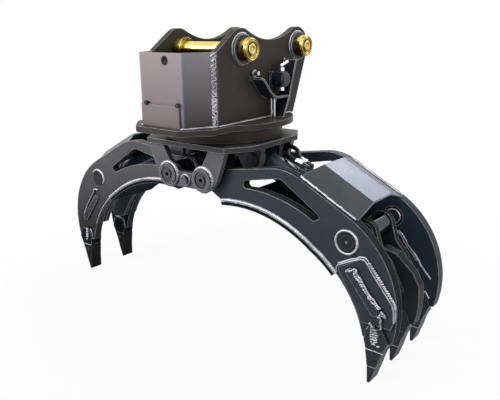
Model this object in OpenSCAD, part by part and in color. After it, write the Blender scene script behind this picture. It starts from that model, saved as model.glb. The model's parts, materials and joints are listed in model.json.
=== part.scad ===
// Hydraulic rotating rock grapple: two-pin excavator hitch head, slewing ring,
// and two toothed jaws, each closed by its own cylinder.
// X runs across the jaws, Y along the jaw pivots, Z up. The five tooth tips stand on z = 0.

/* [Hitch head] */
// Height of the hitch pins above the tooth tips
pin_h = 1355; // [1255:5:1405]
// Distance between the two hitch pins
pin_gap = 450; // [420:5:480]
// Distance of the front hitch pin ahead of the slewing axis
pin_lead = 110; // [90:5:130]
// Hitch pin diameter
pin_d = 65; // [50:1:75]
// Width over the two ears
ear_out_w = 424; // [400:2:440]
// Ear plate thickness
ear_t = 30; // [24:1:36]
// Radius of the ear lobe round each hitch pin
ear_lobe_r = 94; // [84:1:100]
// Height of the valley between the lobes above the pins
ear_valley_h = 37; // [20:1:50]
// Height of the pins above the base plate
ear_drop = 333; // [313:1:353]
// Distance of the ears' front edge ahead of the slewing axis
ear_front = 285; // [275:1:295]
// Distance of the ears' heel behind the slewing axis
ear_heel = 307; // [297:1:320]
// Diameter of the weld-on ring round each pin bore
boss_ring_d = 140; // [125:1:150]
// Thickness of the weld-on ring
boss_ring_t = 14; // [8:1:18]
// Diameter of the pin collars
collar_d = 105; // [90:1:110]
// Length of the collar outside each ear
collar_w = 46; // [36:1:56]
// Length of the spacer inside each ear
spacer_w = 50; // [30:1:60]

/* [Front box] */
// Distance of the box face ahead of the slewing axis
box_front = 428; // [410:1:440]
// Width of the flat box face
box_face_w = 264; // [240:2:290]
// Drop of the box rim below the pins
box_rim_drop = 5; // [0:1:20]
// Box plate thickness
box_t = 16; // [10:1:20]
// Outer bend radius of the box plate
box_bend_r = 24; // [18:1:34]
// Diameter of the hose hole in the box face
box_hole_d = 30; // [20:1:40]
// Width of the bolted access cover
cover_w = 239; // [210:1:250]
// Height of the bolted access cover
cover_h = 102; // [85:1:115]
// Thickness of the access cover
cover_t = 8; // [5:1:12]

/* [Base plate and slewing ring] */
// Base plate thickness
base_t = 28; // [22:1:32]
// Distance of the base plate's front edge ahead of the slewing axis
base_front = 470; // [460:1:480]
// Width of the base plate's front edge
base_face_w = 268; // [256:2:300]
// Width of the base plate beside the ears
base_w = 482; // [470:2:500]
// Diameter of the round part of the base plate
base_round_d = 676; // [650:2:690]
// Distance of the round part's centre behind the slewing axis
base_round_back = 20; // [0:1:30]
// Outer diameter of the slewing ring's skirt
skirt_d = 590; // [582:2:604]
// Height of the skirt
skirt_h = 61; // [54:1:62]
// Diameter of the ball circle
ball_pcd = 524; // [516:1:530]
// Diameter of the balls
ball_d = 20; // [16:1:22]
// Number of balls
balls = 36; // [24:1:44]
// Gear module of the slewing teeth
gear_m = 8; // [7.6:0.1:8.2]
// Teeth inside the slewing ring
ring_teeth = 54; // [52:1:55]
// Teeth of the drive pinion
pinion_teeth = 13; // [12:1:15]
// Length of the gear teeth
gear_w = 48; // [40:1:50]
// Slewing motor body diameter
motor_d = 96; // [80:1:110]
// Slewing motor height above the base plate
motor_h = 168; // [140:1:190]

/* [Lower frame] */
// Gap between base plate and lower deck plate
deck_gap = 64; // [63:1:70]
// Deck plate thickness
deck_t = 25; // [20:1:28]
// Deck plate length across the jaws
deck_l = 655; // [640:5:680]
// Deck plate width along the pivots
deck_w = 596; // [584:2:610]
// Distance between the two jaw pivots
pivot_gap = 224; // [216:1:232]
// Drop of the jaw pivots below the hitch pins
pivot_drop = 591; // [586:1:600]
// Jaw pivot pin diameter
pivot_d = 60; // [50:1:66]
// Distance between the outer faces of the two lug plates
lug_out_w = 580; // [572:2:590]
// Lug plate thickness
lug_t = 30; // [26:1:32]
// Diameter of the boss round each pivot pin
pivot_boss_d = 110; // [100:1:114]
// Height of the pivot boss on the lug plate
pivot_boss_t = 20; // [12:1:24]
// Distance of the cylinder base pins from the slewing axis
base_pin_x = 240; // [232:1:246]
// Drop of the cylinder base pins below the hitch pins
base_pin_drop = 520; // [516:1:524]
// Cylinder pin diameter
cyl_pin_d = 50; // [44:1:52]
// Distance between the inner faces of the cylinder lugs
cyl_lug_in_w = 124; // [120:1:128]
// Thickness of the cylinder lugs
cyl_lug_t = 28; // [22:1:30]
// Swivel body diameter
swivel_d = 112; // [100:1:116]

/* [Jaws] */
// Thickness of each tine plate
tine_t = 48; // [40:1:50]
// Outer width of the three-tine jaw
jaw_right_w = 485; // [470:1:500]
// Outer width of the two-tine jaw
jaw_left_w = 307; // [302:1:320]
// Distance of the tine's back from the jaw pivot
jaw_reach = 983; // [970:1:1000]
// Height of the tine's end above the tooth tips
tine_end_h = 200; // [190:1:215]
// Radius of the gripping curve
grip_r = 686; // [666:1:706]
// Radius of the gripping edge towards the tips
toe_r = 536; // [522:1:550]
// Radius of the tine's back
back_r = 439; // [425:1:450]
// Height of the crest above the pivot, where the two straight upper edges meet
crest_h = 106; // [100:1:110]
// Distance of the crest from the pivot
crest_x = 439; // [430:1:450]
// Rounding of the crest
crest_r = 250; // [200:5:280]
// Slope of the tine's straight upper edge
slope_a = 27.8; // [26:0.1:29]
// Rise of the top edge from the root to the crest
rise_a = 8.5; // [6:0.1:10]
// Radius of the tine's root round the pivot
root_r = 66; // [62:1:68]
// Outer diameter of the pivot tube
hub_d = 104; // [96:1:110]
// Thickness of the belly plate
belly_t = 22; // [16:1:28]
// How far the belly plate stands out past the outer tines
belly_lip = 7; // [4:1:9]
// Distance of the cylinder's rod pin from the jaw pivot, along the jaw
rod_pin_x = 744; // [735:1:752]
// Drop of the rod pin below the jaw pivot
rod_pin_drop = 165; // [155:1:172]
// Thickness of the wear plates near the tips
doubler_t = 10; // [6:1:12]
// Width across a tooth
tooth_w = 74; // [68:1:80]
// Diameter of the tooth pin
tooth_pin_d = 16; // [12:1:18]
// Diameter of the cylinder pin's flush head in a tine
rod_head_d = 98; // [90:1:102]
// Height of the cylinder guard above the tines
guard_h = 46; // [40:1:54]
// Thickness of the cylinder guard
guard_t = 8; // [5:1:12]

/* [Cylinders] */
// Outer diameter of the barrel
barrel_d = 110; // [100:1:112]
// Bore of the barrel
bore_d = 90; // [84:1:92]
// Rod diameter
rod_d = 56; // [46:1:60]
// Outer diameter of the end eyes
eye_d = 108; // [104:1:110]
// Width of the end eyes
eye_w = 110; // [100:1:116]
// Outer diameter of the gland
gland_d = 118; // [114:1:119]
// Hose diameter
hose_d = 22; // [16:1:24]

/* [Hidden] */
$fn = 64;

// Shared clearances
// Overrun of a cut past the surface that it opens
over = 1;
// Radial running clearance of a pin in its bore
run_fit = 0.05;
// Gap between curved pieces that are welded or pressed together
seat_gap = 0.1;
// Gap between pieces of different bodies that slide past each other
slide_gap = 0.3;

// Heights, from the ground
base_top = pin_h - ear_drop;
base_bottom = base_top - base_t;
deck_top = base_bottom - deck_gap;
deck_bottom = deck_top - deck_t;
pivot_h = pin_h - pivot_drop;
base_pin_h = pin_h - base_pin_drop;

// The slewing axis stands back from the middle of the whole length
pin_back = pin_gap - pin_lead;
pin_ys = [-pin_lead, pin_back];
ear_in_x = ear_out_w / 2 - ear_t;
centre_y = (base_front - (pin_back + ear_lobe_r)) / 2;

// Ear outline, side view, measured from the slewing axis and the pins
heel_dist = norm([pin_back - ear_heel, ear_drop]);
heel_tangent_a = acos(ear_lobe_r / heel_dist) - 90 - atan((pin_back - ear_heel) / ear_drop);
front_dist = norm([ear_front - pin_lead, box_rim_drop]);
front_tangent_a = 180 + atan(box_rim_drop / (ear_front - pin_lead)) - acos(ear_lobe_r / front_dist);
valley_r = (pow(pin_gap / 2, 2) + pow(ear_valley_h, 2) - pow(ear_lobe_r, 2))
  / (2 * (ear_lobe_r - ear_valley_h));
valley_a = atan((ear_valley_h + valley_r) / (pin_gap / 2));

// Jaw outline, measured from the jaw pivot
pivot_x = pivot_gap / 2;
slope_n = [sin(slope_a), cos(slope_a)];
slope_d = [cos(slope_a), -sin(slope_a)];
crest = [crest_x, crest_h];
back_c_x = jaw_reach - back_r;
back_c = [back_c_x, (slope_n * crest - back_r - slope_n[0] * back_c_x) / slope_n[1]];
rod_eye = [rod_pin_x, -rod_pin_drop];
tine_end_z = tine_end_h - pivot_h;

// Gripping edge: a wide arc under the root, then a closer one to the tip, in chords
edge_steps = 20;
belly_start = [70, -100];
grip_a0 = 99.2;
grip_a1 = 54;
toe_a0 = 59.6;
grip_c = belly_start - grip_r * [cos(grip_a0), sin(grip_a0)];
toe_c = grip_c + grip_r * [cos(grip_a1), sin(grip_a1)] - toe_r * [cos(toe_a0), sin(toe_a0)];
toe_a1 = asin((tine_end_z - toe_c[1]) / toe_r);
toe_step_a = (toe_a0 - toe_a1) / edge_steps;

// Cylinder axis at rest
base_pin_at = [base_pin_x - pivot_x, base_pin_h - pivot_h];
cyl_len = norm(rod_eye - base_pin_at);
cyl_a = atan2(base_pin_at[1] - rod_eye[1], rod_eye[0] - base_pin_at[0]);
// Gap between the gland and the rod eye with the jaw fully open
retract_gap = 14;
gland_l = 36;
gland_end = cyl_len - eye_d / 2 - retract_gap;
barrel_end = gland_end - gland_l;
bore_start = 78;
piston_l = 48;
piston_gap = 8;

function unit(v) = v / norm(v);

// Arc that rounds corner p between its neighbours a and b
function bend(a, p, b, r, n = 7) =
  let (
    u = unit(a - p),
    v = unit(b - p),
    half = acos(u * v) / 2,
    c = p + unit(u + v) * (r / sin(half)),
    s = p + u * (r / tan(half)) - c,
    e = p + v * (r / tan(half)) - c,
    a0 = atan2(s[1], s[0]),
    raw = atan2(e[1], e[0]) - a0,
    turn = raw > 180 ? raw - 360 : raw < -180 ? raw + 360 : raw
  )
  [for (i = [0 : n]) c + r * [cos(a0 + turn * i / n), sin(a0 + turn * i / n)]];

// Points on an arc from angle a0 to a1
function arc(c, r, a0, a1, n) =
  [for (i = [0 : n]) c + r * [cos(a0 + (a1 - a0) * i / n), sin(a0 + (a1 - a0) * i / n)]];

// Outline through points [x, y, corner radius]
function rounded(q) =
  [for (i = [0 : len(q) - 1])
    let (
      k = len(q),
      a = q[(i + k - 1) % k],
      p = q[i],
      b = q[(i + 1) % k]
    )
    each p[2] == 0
      ? [[p[0], p[1]]]
      : bend([a[0], a[1]], [p[0], p[1]], [b[0], b[1]], p[2])];

// Moves children from the slewing axis into the part's frame
module from_slew_axis() {
  translate([0, centre_y, 0]) children();
}

// Gives children on both sides of the YZ plane
module both_x() {
  children();
  mirror([1, 0, 0]) children();
}

// Gives children on both sides of the XZ plane
module both_y() {
  children();
  mirror([0, 1, 0]) children();
}

// Round bar along Y between two Y values
module bar_y(r, y0, y1) {
  translate([0, y1, 0]) rotate([90, 0, 0]) cylinder(r = r, h = y1 - y0);
}

// Round bar along X between two X values
module bar_x(r, x0, x1) {
  translate([x0, 0, 0]) rotate([0, 90, 0]) cylinder(r = r, h = x1 - x0);
}

// Plate whose outline is drawn in side view X-Z, from y0 on
module plate_xz(y0, t) {
  translate([0, y0 + t, 0]) rotate([90, 0, 0]) linear_extrude(t) children();
}

// Plate whose outline is drawn in Y-Z, from x0 on
module plate_yz(x0, t) {
  translate([x0, 0, 0]) rotate([90, 0, 90]) linear_extrude(t) children();
}

// Point k of a path, moved sideways by w along the mitre there
function mitred(path, k, w) =
  let (
    n = len(path) - 1,
    a = unit(path[min(k + 1, n)] - path[min(k, n - 1)]),
    b = unit(path[max(k, 1)] - path[max(k - 1, 0)]),
    m = unit([-a[1] - b[1], a[0] + b[0]])
  )
  path[k] + m * (w / (m * [-a[1], a[0]]));

// Bent strip of constant thickness t along a path, with bends of radius r
module strip_2d(path, t, r) {
  n = len(path) - 1;
  polygon(rounded(concat(
    [for (k = [0 : n]) concat(mitred(path, k, t / 2), k == 0 || k == n ? 0 : r)],
    [for (k = [n : -1 : 0]) concat(mitred(path, k, -t / 2), k == 0 || k == n ? 0 : r)]
  )));
}

// Hitch head

module base_outline() {
  chamfer_y = ear_front + (base_front - ear_front) * 0.4;
  polygon(rounded([
    [-base_face_w / 2, -base_front, base_t], [base_face_w / 2, -base_front, base_t],
    [base_w / 2, -chamfer_y, base_t], [base_w / 2, base_round_back, 0],
    [-base_w / 2, base_round_back, 0], [-base_w / 2, -chamfer_y, base_t]
  ]));
  translate([0, base_round_back]) circle(d = base_round_d, $fn = 96);
}

pinion_at = [0, (ring_teeth - pinion_teeth) * gear_m / 2];
spindle_d = 60;
motor_pilot_d = 84;

module base_plate() {
  color("#3f3f42") from_slew_axis() difference() {
    translate([0, 0, base_bottom]) linear_extrude(base_t) base_outline();
    translate([0, 0, base_bottom - over]) cylinder(d = spindle_d + 2 * seat_gap, h = base_t + 2 * over);
    translate([pinion_at[0], pinion_at[1], base_bottom - over])
      cylinder(d = motor_pilot_d, h = base_t + 2 * over);
  }
}

// Lobe, valley, lobe and heel in one line, with the pin bores
module ear_outline() {
  valley_c = [(pin_back - pin_lead) / 2, ear_valley_h + valley_r];
  difference() {
    polygon(concat(
      [[-ear_front, -ear_drop], [-ear_front, -box_rim_drop]],
      arc([-pin_lead, 0], ear_lobe_r, front_tangent_a, valley_a, 18),
      arc(valley_c, valley_r, 181 + valley_a, 359 - valley_a, 16),
      arc([pin_back, 0], ear_lobe_r, 180 - valley_a, heel_tangent_a, 24),
      [[ear_heel, -ear_drop]]
    ));
    for (y = pin_ys) translate([y, 0]) circle(d = pin_d + 2 * run_fit);
  }
}

module ear(x0) {
  from_slew_axis() translate([0, 0, pin_h]) plate_yz(x0, ear_t) ear_outline();
}

module ear_left() {
  color("#343230") ear(-ear_out_w / 2);
}

module ear_right() {
  color("#343230") ear(ear_in_x);
}

module ear_boss_rings() {
  color("#4a4a52") from_slew_axis() both_x() for (y = pin_ys) translate([0, y, pin_h])
    difference() {
      bar_x(boss_ring_d / 2, ear_out_w / 2, ear_out_w / 2 + boss_ring_t);
      bar_x(pin_d / 2 + run_fit, ear_out_w / 2 - over, ear_out_w / 2 + boss_ring_t + over);
    }
}

box_rim = pin_h - box_rim_drop;
box_heel_in = 6;
box_heel_x = ear_out_w / 2 - box_heel_in;
box_hole_at = [34, -38];
cover_x = -122;

module box_outline() {
  face_x = box_face_w / 2;
  turn = atan((box_front - ear_front) / (box_heel_x - face_x));
  in_x = face_x - box_t * tan(turn / 2);
  in_heel = box_heel_x - box_t / sin(turn);
  in_y = -box_front + box_t;
  in_r = box_bend_r - box_t;
  polygon(rounded([
    [-box_heel_x, -ear_front, 0], [-face_x, -box_front, box_bend_r],
    [face_x, -box_front, box_bend_r], [box_heel_x, -ear_front, 0],
    [in_heel, -ear_front, 0], [in_x, in_y, in_r],
    [-in_x, in_y, in_r], [-in_heel, -ear_front, 0]
  ]));
}

bolt_d = 12;
cover_bolt_rise = 4;
cover_bolt_xs = [cover_x + 3 * bolt_d, cover_x + cover_w - bolt_d / 2];
cover_bolt_z = base_top + cover_h + cover_bolt_rise;

module front_box() {
  color("#77737a") from_slew_axis() difference() {
    translate([0, 0, base_top]) linear_extrude(box_rim - base_top) box_outline();
    translate([box_hole_at[0], 0, pin_h + box_hole_at[1]])
      bar_y(box_hole_d / 2, -box_front - over, -box_front + box_t + over);
    for (x = cover_bolt_xs) translate([x, 0, cover_bolt_z])
      bar_y(bolt_d / 2 + seat_gap, -box_front - over, -box_front + box_t + over);
  }
}

module access_cover() {
  color("#77737a") from_slew_axis() difference() {
    plate_xz(-box_front - cover_t, cover_t)
      translate([cover_x, base_top]) square([cover_w, cover_h]);
    for (x = cover_bolt_xs) translate([x, 0, cover_bolt_z])
      bar_y(bolt_d / 2 + seat_gap, -box_front - cover_t - over, -box_front + over);
  }
}

// Hexagon head bolt along +X with its head's seat at x = 0 and a shank of length l
module bolt_x(d, l) {
  bar_x(d / 2, 0, l);
  translate([-d * 0.65, 0, 0]) rotate([0, 90, 0]) cylinder(d = d * 1.8, h = d * 0.65, $fn = 6);
}

collar_bolt_d = 14;
collar_x = ear_out_w / 2 + boss_ring_t;
collar_bolt_x = collar_x + collar_w * 0.45;
collar_bolt_a = -14;

module head_bolts() {
  color("#26262a") from_slew_axis() {
    both_x() for (y = pin_ys) translate([collar_bolt_x, y, pin_h])
      rotate([0, 0, 90]) rotate([0, -collar_bolt_a, 0]) translate([-collar_d / 2, 0, 0]) {
        bolt_x(collar_bolt_d, collar_d + collar_bolt_d);
        translate([collar_d, 0, 0]) rotate([0, 90, 0])
          cylinder(d = collar_bolt_d * 1.8, h = collar_bolt_d * 0.75, $fn = 6);
      }
    for (x = cover_bolt_xs) translate([x, -box_front - cover_t, cover_bolt_z])
      rotate([0, 0, 90]) bolt_x(bolt_d, cover_t + box_t);
  }
}

cross_plate_t = 20;
cross_plate_back = 260;
cross_plate_h = 150;

module rear_cross_plate() {
  color("#343230") from_slew_axis()
    translate([-ear_in_x, cross_plate_back, base_top]) cube([2 * ear_in_x, cross_plate_t, cross_plate_h]);
}

// Turned pin with an undercut face ring at each end, bored across for its collar bolts
module hitch_pin(y) {
  pin_end = collar_x + collar_w;
  groove_d = pin_d * 0.72;
  groove_w = pin_d * 0.08;
  color("#c9a227") from_slew_axis() translate([0, y, pin_h]) difference() {
    bar_x(pin_d / 2, -pin_end, pin_end);
    both_x() {
      difference() {
        bar_x(groove_d / 2, pin_end - groove_w, pin_end + over);
        bar_x(groove_d / 2 - groove_w, pin_end - 2 * groove_w, pin_end + 2 * over);
      }
      translate([collar_bolt_x, 0, 0]) rotate([collar_bolt_a, 0, 0])
        bar_y(collar_bolt_d / 2 + seat_gap, -pin_d, pin_d);
    }
  }
}

module hitch_pin_front() {
  hitch_pin(-pin_lead);
}

module hitch_pin_rear() {
  hitch_pin(pin_back);
}

module pin_collars() {
  rim = collar_w * 0.12;
  color("#d4ad2c") from_slew_axis() both_x() for (y = pin_ys) translate([0, y, pin_h]) {
    difference() {
      union() {
        bar_x(collar_d / 2, collar_x, collar_x + collar_w - rim);
        bar_x(collar_d / 2 - rim / 2, collar_x, collar_x + collar_w);
      }
      bar_x(pin_d / 2 + seat_gap, collar_x - over, collar_x + collar_w + over);
      translate([collar_bolt_x, 0, 0]) rotate([collar_bolt_a, 0, 0])
        bar_y(collar_bolt_d / 2 + seat_gap, -collar_d, collar_d);
    }
    difference() {
      bar_x(collar_d / 2, ear_in_x - spacer_w, ear_in_x);
      bar_x(pin_d / 2 + seat_gap, ear_in_x - spacer_w - over, ear_in_x + over);
    }
  }
}

// Guards round the valve on the outside of the near ear: paths from the rear pin, in shares
// of the pins' height above the base plate
guard_plate_t = 10;
guard_out = 73;
guard_x = ear_out_w / 2;
shelf_shares = [[-1.19, -0.4], [-1.12, -0.435], [-0.931, -0.649], [-0.832, -0.694], [-0.541, -0.7]];
rear_shares = [[-0.336, -0.189], [-0.511, -0.715], [-0.547, -0.787], [-0.673, -1.03]];
shelf_path = ear_drop * shelf_shares;
rear_path = ear_drop * rear_shares;

module valve_guards() {
  bend_r = 1.5 * guard_plate_t;
  color("#2c2d31") from_slew_axis() translate([0, pin_back, pin_h]) {
    plate_yz(guard_x, guard_out) strip_2d(shelf_path, guard_plate_t, bend_r);
    plate_yz(guard_x, guard_out) difference() {
      strip_2d(rear_path, guard_plate_t, bend_r);
      translate([-ear_drop, -2 * ear_drop]) square([ear_drop, ear_drop]);
    }
  }
}

// Cross-line valve: round body along X on a square flange
valve_lead = 215;
valve_drop = 149;
valve_at = [pin_back - valve_lead, -valve_drop];
valve_d = 70;
valve_l = 88;
valve_flange = 84;
valve_flange_t = 14;
valve_cap_d = 52;
valve_cap_l = 8;
port_d = 21;
valve_port_x = valve_l * 0.62;
valve_port_boss = 4;
port_depth = 6;
valve_port_floor = valve_d / 2 - port_depth;

module slew_valve() {
  color("#1f242c") from_slew_axis() translate([guard_x, valve_at[0], pin_h + valve_at[1]]) difference() {
    union() {
      translate([0, -valve_flange / 2, -valve_flange * 0.42]) cube([valve_flange_t, valve_flange, valve_flange * 0.84]);
      bar_x(valve_d / 2, 0, valve_l - valve_cap_l);
      bar_x(valve_cap_d / 2, 0, valve_l);
      for (s = [1, -1]) translate([valve_port_x, 0, 0]) rotate([90 - 90 * s, 0, 0])
        cylinder(d = port_d * 1.5, h = valve_d / 2 + valve_port_boss);
    }
    for (s = [1, -1]) translate([valve_port_x, 0, 0]) rotate([90 - 90 * s, 0, 0])
      translate([0, 0, valve_port_floor]) cylinder(d = port_d, h = valve_d / 2);
  }
}

fitting_stub = 16;
tube_d = 10;
tube_lead = 58;

// Hexagon body of a fitting with its thread below z = 0
module fitting() {
  translate([0, 0, seat_gap - valve_port_boss - port_depth]) cylinder(d = port_d - 2 * seat_gap, h = fitting_stub);
  cylinder(d = port_d * 1.6, h = fitting_stub, $fn = 6);
}

module valve_fittings() {
  color("#c3c6cc") from_slew_axis() {
    translate([guard_x + valve_port_x, valve_at[0], pin_h + valve_at[1]]) for (s = [1, -1])
      rotate([90 - 90 * s, 0, 0]) translate([0, 0, valve_d / 2 + valve_port_boss]) {
        fitting();
        if (s > 0) translate([0, 0, fitting_stub]) {
          cylinder(d = port_d * 0.9, h = fitting_stub / 2);
          translate([0, 0, fitting_stub / 2]) sphere(d = port_d);
          translate([0, 0, fitting_stub / 2]) rotate([-72, 0, 0]) cylinder(d = port_d * 0.8, h = 3.4 * fitting_stub);
        }
      }
    translate([guard_x, pin_back + shelf_path[0][0] + port_d, pin_h + shelf_path[0][1] + port_d]) {
      bar_x(port_d * 0.8, 0, fitting_stub);
      bar_x(port_d / 2, fitting_stub, 2.4 * fitting_stub);
    }
    for (k = [0, 1]) translate([guard_x + guard_out / 2 + k * 1.8 * tube_d, valve_at[0] - tube_lead, base_top])
      cylinder(d = tube_d, h = ear_drop + shelf_path[3][1] - guard_plate_t / 2 - slide_gap);
  }
}

shaft_d = 32;

module slew_motor() {
  flange_w = motor_d * 1.2;
  flange_t = 18;
  color("#1f2d44") from_slew_axis() translate([pinion_at[0], pinion_at[1], base_top]) difference() {
    union() {
      translate([0, 0, -base_t / 2]) cylinder(d = motor_pilot_d - 2 * seat_gap, h = base_t / 2);
      translate([-flange_w / 2, -flange_w / 2, 0]) cube([flange_w, flange_w, flange_t]);
      cylinder(d = motor_d, h = motor_h * 0.8);
      translate([-motor_d * 0.35, -motor_d * 0.4, 0]) cube([motor_d * 0.7, motor_d * 0.8, motor_h]);
    }
    translate([0, 0, -base_t / 2 - over]) cylinder(d = shaft_d + 2 * run_fit, h = base_t / 2 + motor_h / 3);
    for (s = [1, -1]) translate([s * motor_d * 0.18, 0, motor_h - fitting_stub])
      cylinder(d = port_d, h = fitting_stub + over);
  }
}

skirt_t = 10;

module slew_skirt() {
  color("#4b4846") from_slew_axis() translate([0, 0, base_bottom - skirt_h]) difference() {
    cylinder(d = skirt_d, h = skirt_h, $fn = 96);
    translate([0, 0, -over]) cylinder(d = skirt_d - 2 * skirt_t, h = skirt_h + 2 * over, $fn = 96);
  }
}

race_h = 54;
race_out_d = 560;
race_gap = 4;
ball_z = base_bottom - race_h * 0.57;

// Groove that the balls run in
module ball_groove(gap) {
  translate([0, 0, ball_z]) rotate_extrude($fn = 96) translate([ball_pcd / 2, 0])
    circle(d = ball_d + 2 * gap, $fn = 32);
}

module slew_ring_outer() {
  color("#55575c") from_slew_axis() difference() {
    translate([0, 0, base_bottom - race_h]) cylinder(d = race_out_d, h = race_h, $fn = 96);
    translate([0, 0, base_bottom - race_h - over])
      cylinder(d = ball_pcd + race_gap, h = race_h + 2 * over, $fn = 96);
    ball_groove(slide_gap);
  }
}

module slew_balls() {
  color("#c9ccd1") from_slew_axis() for (i = [0 : balls - 1])
    rotate(360 * i / balls) translate([ball_pcd / 2, 0, ball_z]) sphere(d = ball_d, $fn = 24);
}

spindle_top_h = 62;
spindle_block = [132, 84];
swivel_h = 110;
swivel_bottom = deck_bottom - swivel_h;
swivel_floor = 6;
spindle_lift = 2;
head_port_x = 36;

// Standing part of the swivel: shaft through the ring, port block on the base plate
module swivel_spindle() {
  foot_z = swivel_bottom + swivel_floor + spindle_lift;
  color("#6b6e74") from_slew_axis() difference() {
    union() {
      translate([0, 0, foot_z]) cylinder(d = spindle_d, h = base_top - swivel_bottom);
      translate([-spindle_block[0] / 2, -spindle_block[1] / 2, base_top])
        cube([spindle_block[0], spindle_block[1], spindle_top_h]);
    }
    both_x() translate([head_port_x, 0, base_top + spindle_top_h / 2])
      cylinder(d = port_d, h = spindle_top_h);
  }
}

// Gears

press_a = 20;
tip_share = 0.8;
root_share = 1.05;
backlash_a = 0.09;

function inv(a) = tan(a) * 180 / PI - a;
function flank(r, rb) = r > rb ? inv(acos(rb / r)) : 0;

// Outline of a spur gear: teeth n, root and tip radii, half tooth angle at the pitch circle
function gear_outline(n, r_root, r_tip, half_a) =
  let (
    rp = gear_m * n / 2,
    rb = rp * cos(press_a),
    steps = 5,
    rs = [for (i = [0 : steps]) r_root + (r_tip - r_root) * i / steps],
    h = [for (r = rs) half_a + inv(press_a) - flank(r, rb)]
  )
  [for (k = [0 : n - 1])
    let (a = 360 * k / n)
    each concat(
      [for (i = [0 : steps]) rs[i] * [cos(a - h[i]), sin(a - h[i])]],
      [for (i = [steps : -1 : 0]) rs[i] * [cos(a + h[i]), sin(a + h[i])]]
    )];

gear_lift = 8;
gear_z = base_bottom - deck_gap + gear_lift;
ring_out_d = ball_pcd - race_gap;
ring_top_gap = 3;

module slew_pinion() {
  rp = gear_m * pinion_teeth / 2;
  ra = rp + tip_share * gear_m;
  color("#8a8d93") from_slew_axis() translate([pinion_at[0], pinion_at[1], 0]) {
    translate([0, 0, gear_z]) linear_extrude(gear_w - 2 * ring_top_gap) rotate(90)
      polygon(gear_outline(pinion_teeth, rp - root_share * gear_m, ra, 90 / pinion_teeth - backlash_a * 4));
    translate([0, 0, gear_z]) cylinder(d = shaft_d, h = base_top + motor_h / 4 - gear_z);
  }
}

module slew_ring_inner() {
  rp = gear_m * ring_teeth / 2;
  ring_h = deck_gap - ring_top_gap;
  color("#6e7177") from_slew_axis() difference() {
    translate([0, 0, deck_top]) cylinder(d = ring_out_d, h = ring_h, $fn = 96);
    translate([0, 0, deck_top - over]) linear_extrude(ring_h + 2 * over) rotate(90)
      polygon(gear_outline(ring_teeth, rp - tip_share * gear_m, rp + root_share * gear_m,
        90 / ring_teeth + backlash_a));
    ball_groove(slide_gap);
  }
}

// Lower frame

module deck_plate() {
  cut_x = deck_l * 0.118;
  cut_y = deck_w * 0.2;
  hx = deck_l / 2;
  hy = deck_w / 2;
  color("#4c4a48") from_slew_axis() translate([0, 0, deck_bottom]) difference() {
    linear_extrude(deck_t) polygon([
      [hx - cut_x, -hy], [hx, -hy + cut_y], [hx, hy - cut_y], [hx - cut_x, hy],
      [-hx + cut_x, hy], [-hx, hy - cut_y], [-hx, -hy + cut_y], [-hx + cut_x, -hy]
    ]);
    translate([0, 0, -over]) cylinder(d = spindle_d + base_t, h = deck_t + 2 * over);
  }
}

// Front view of a lug plate: right half in shares of its height and half width, with roundings
lug_h = deck_bottom - pivot_h;
lug_half = 245;
lug_in_shares = [[0.188, 0.142, 0.163], [0.433, 0.454, 0.184], [0.608, 1, 0]];
lug_out_shares = [[1, 1, 0], [0.882, 0.39, 0.122], [0.759, -0.1, 0.122], [0.58, -0.39, 0.098]];

// Points of a table of shares in [x, y, rounding], with x on side s
function lug_pts(shares, s) =
  [for (q = shares) [s * lug_half * q[0], lug_h * q[1], lug_half * q[2]]];

function reversed(q) = [for (i = [len(q) - 1 : -1 : 0]) q[i]];

module lug_outline() {
  difference() {
    polygon(rounded(concat(
      lug_pts(lug_in_shares, 1), lug_pts(lug_out_shares, 1),
      lug_pts(reversed(lug_out_shares), -1), lug_pts(reversed(lug_in_shares), -1)
    )));
    for (s = [1, -1]) translate([s * pivot_x, 0]) circle(d = pivot_d + 2 * run_fit);
    translate([0, tie_z]) circle(d = tie_d + 2 * seat_gap);
  }
}

tie_d = 42;
tie_z = -16;
tie_end = 24;

module lug_plate() {
  ring_in_d = pin_head_d + 2 * seat_gap;
  plate_xz(-lug_out_w / 2, lug_t) lug_outline();
  for (s = [1, -1]) translate([s * pivot_x, 0, 0]) difference() {
    bar_y(pivot_boss_d / 2, -lug_out_w / 2 - pivot_boss_t, -lug_out_w / 2);
    bar_y(ring_in_d / 2, -lug_out_w / 2 - pivot_boss_t - over, -lug_out_w / 2 + over);
  }
}

module lug_plate_front() {
  color("#45464b") from_slew_axis() translate([0, 0, pivot_h]) lug_plate();
}

module lug_plate_rear() {
  color("#45464b") from_slew_axis() translate([0, 0, pivot_h]) rotate([0, 0, 180]) lug_plate();
}

// Hanging lug for a cylinder base pin
module base_lug_outline() {
  lobe_r = 58;
  top_z = deck_bottom - base_pin_h;
  difference() {
    union() {
      circle(r = lobe_r);
      polygon([
        [-lobe_r * 2.1, top_z], [lobe_r * 1.15, top_z], [lobe_r, 0], [0, 0], [-lobe_r * 0.72, -lobe_r * 0.69]
      ]);
    }
    circle(d = cyl_pin_d + 2 * run_fit);
  }
}

module base_lugs() {
  color("#3b3c40") from_slew_axis() both_x() both_y()
    translate([base_pin_x, 0, base_pin_h]) plate_xz(cyl_lug_in_w / 2, cyl_lug_t) base_lug_outline();
}

module tie_bar() {
  reach = lug_out_w / 2 + tie_end;
  color("#55565b") from_slew_axis() translate([0, 0, pivot_h + tie_z]) {
    bar_y(tie_d / 2, -reach, reach);
  }
}

pin_head_d = 82;
pin_head_t = 15;

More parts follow.
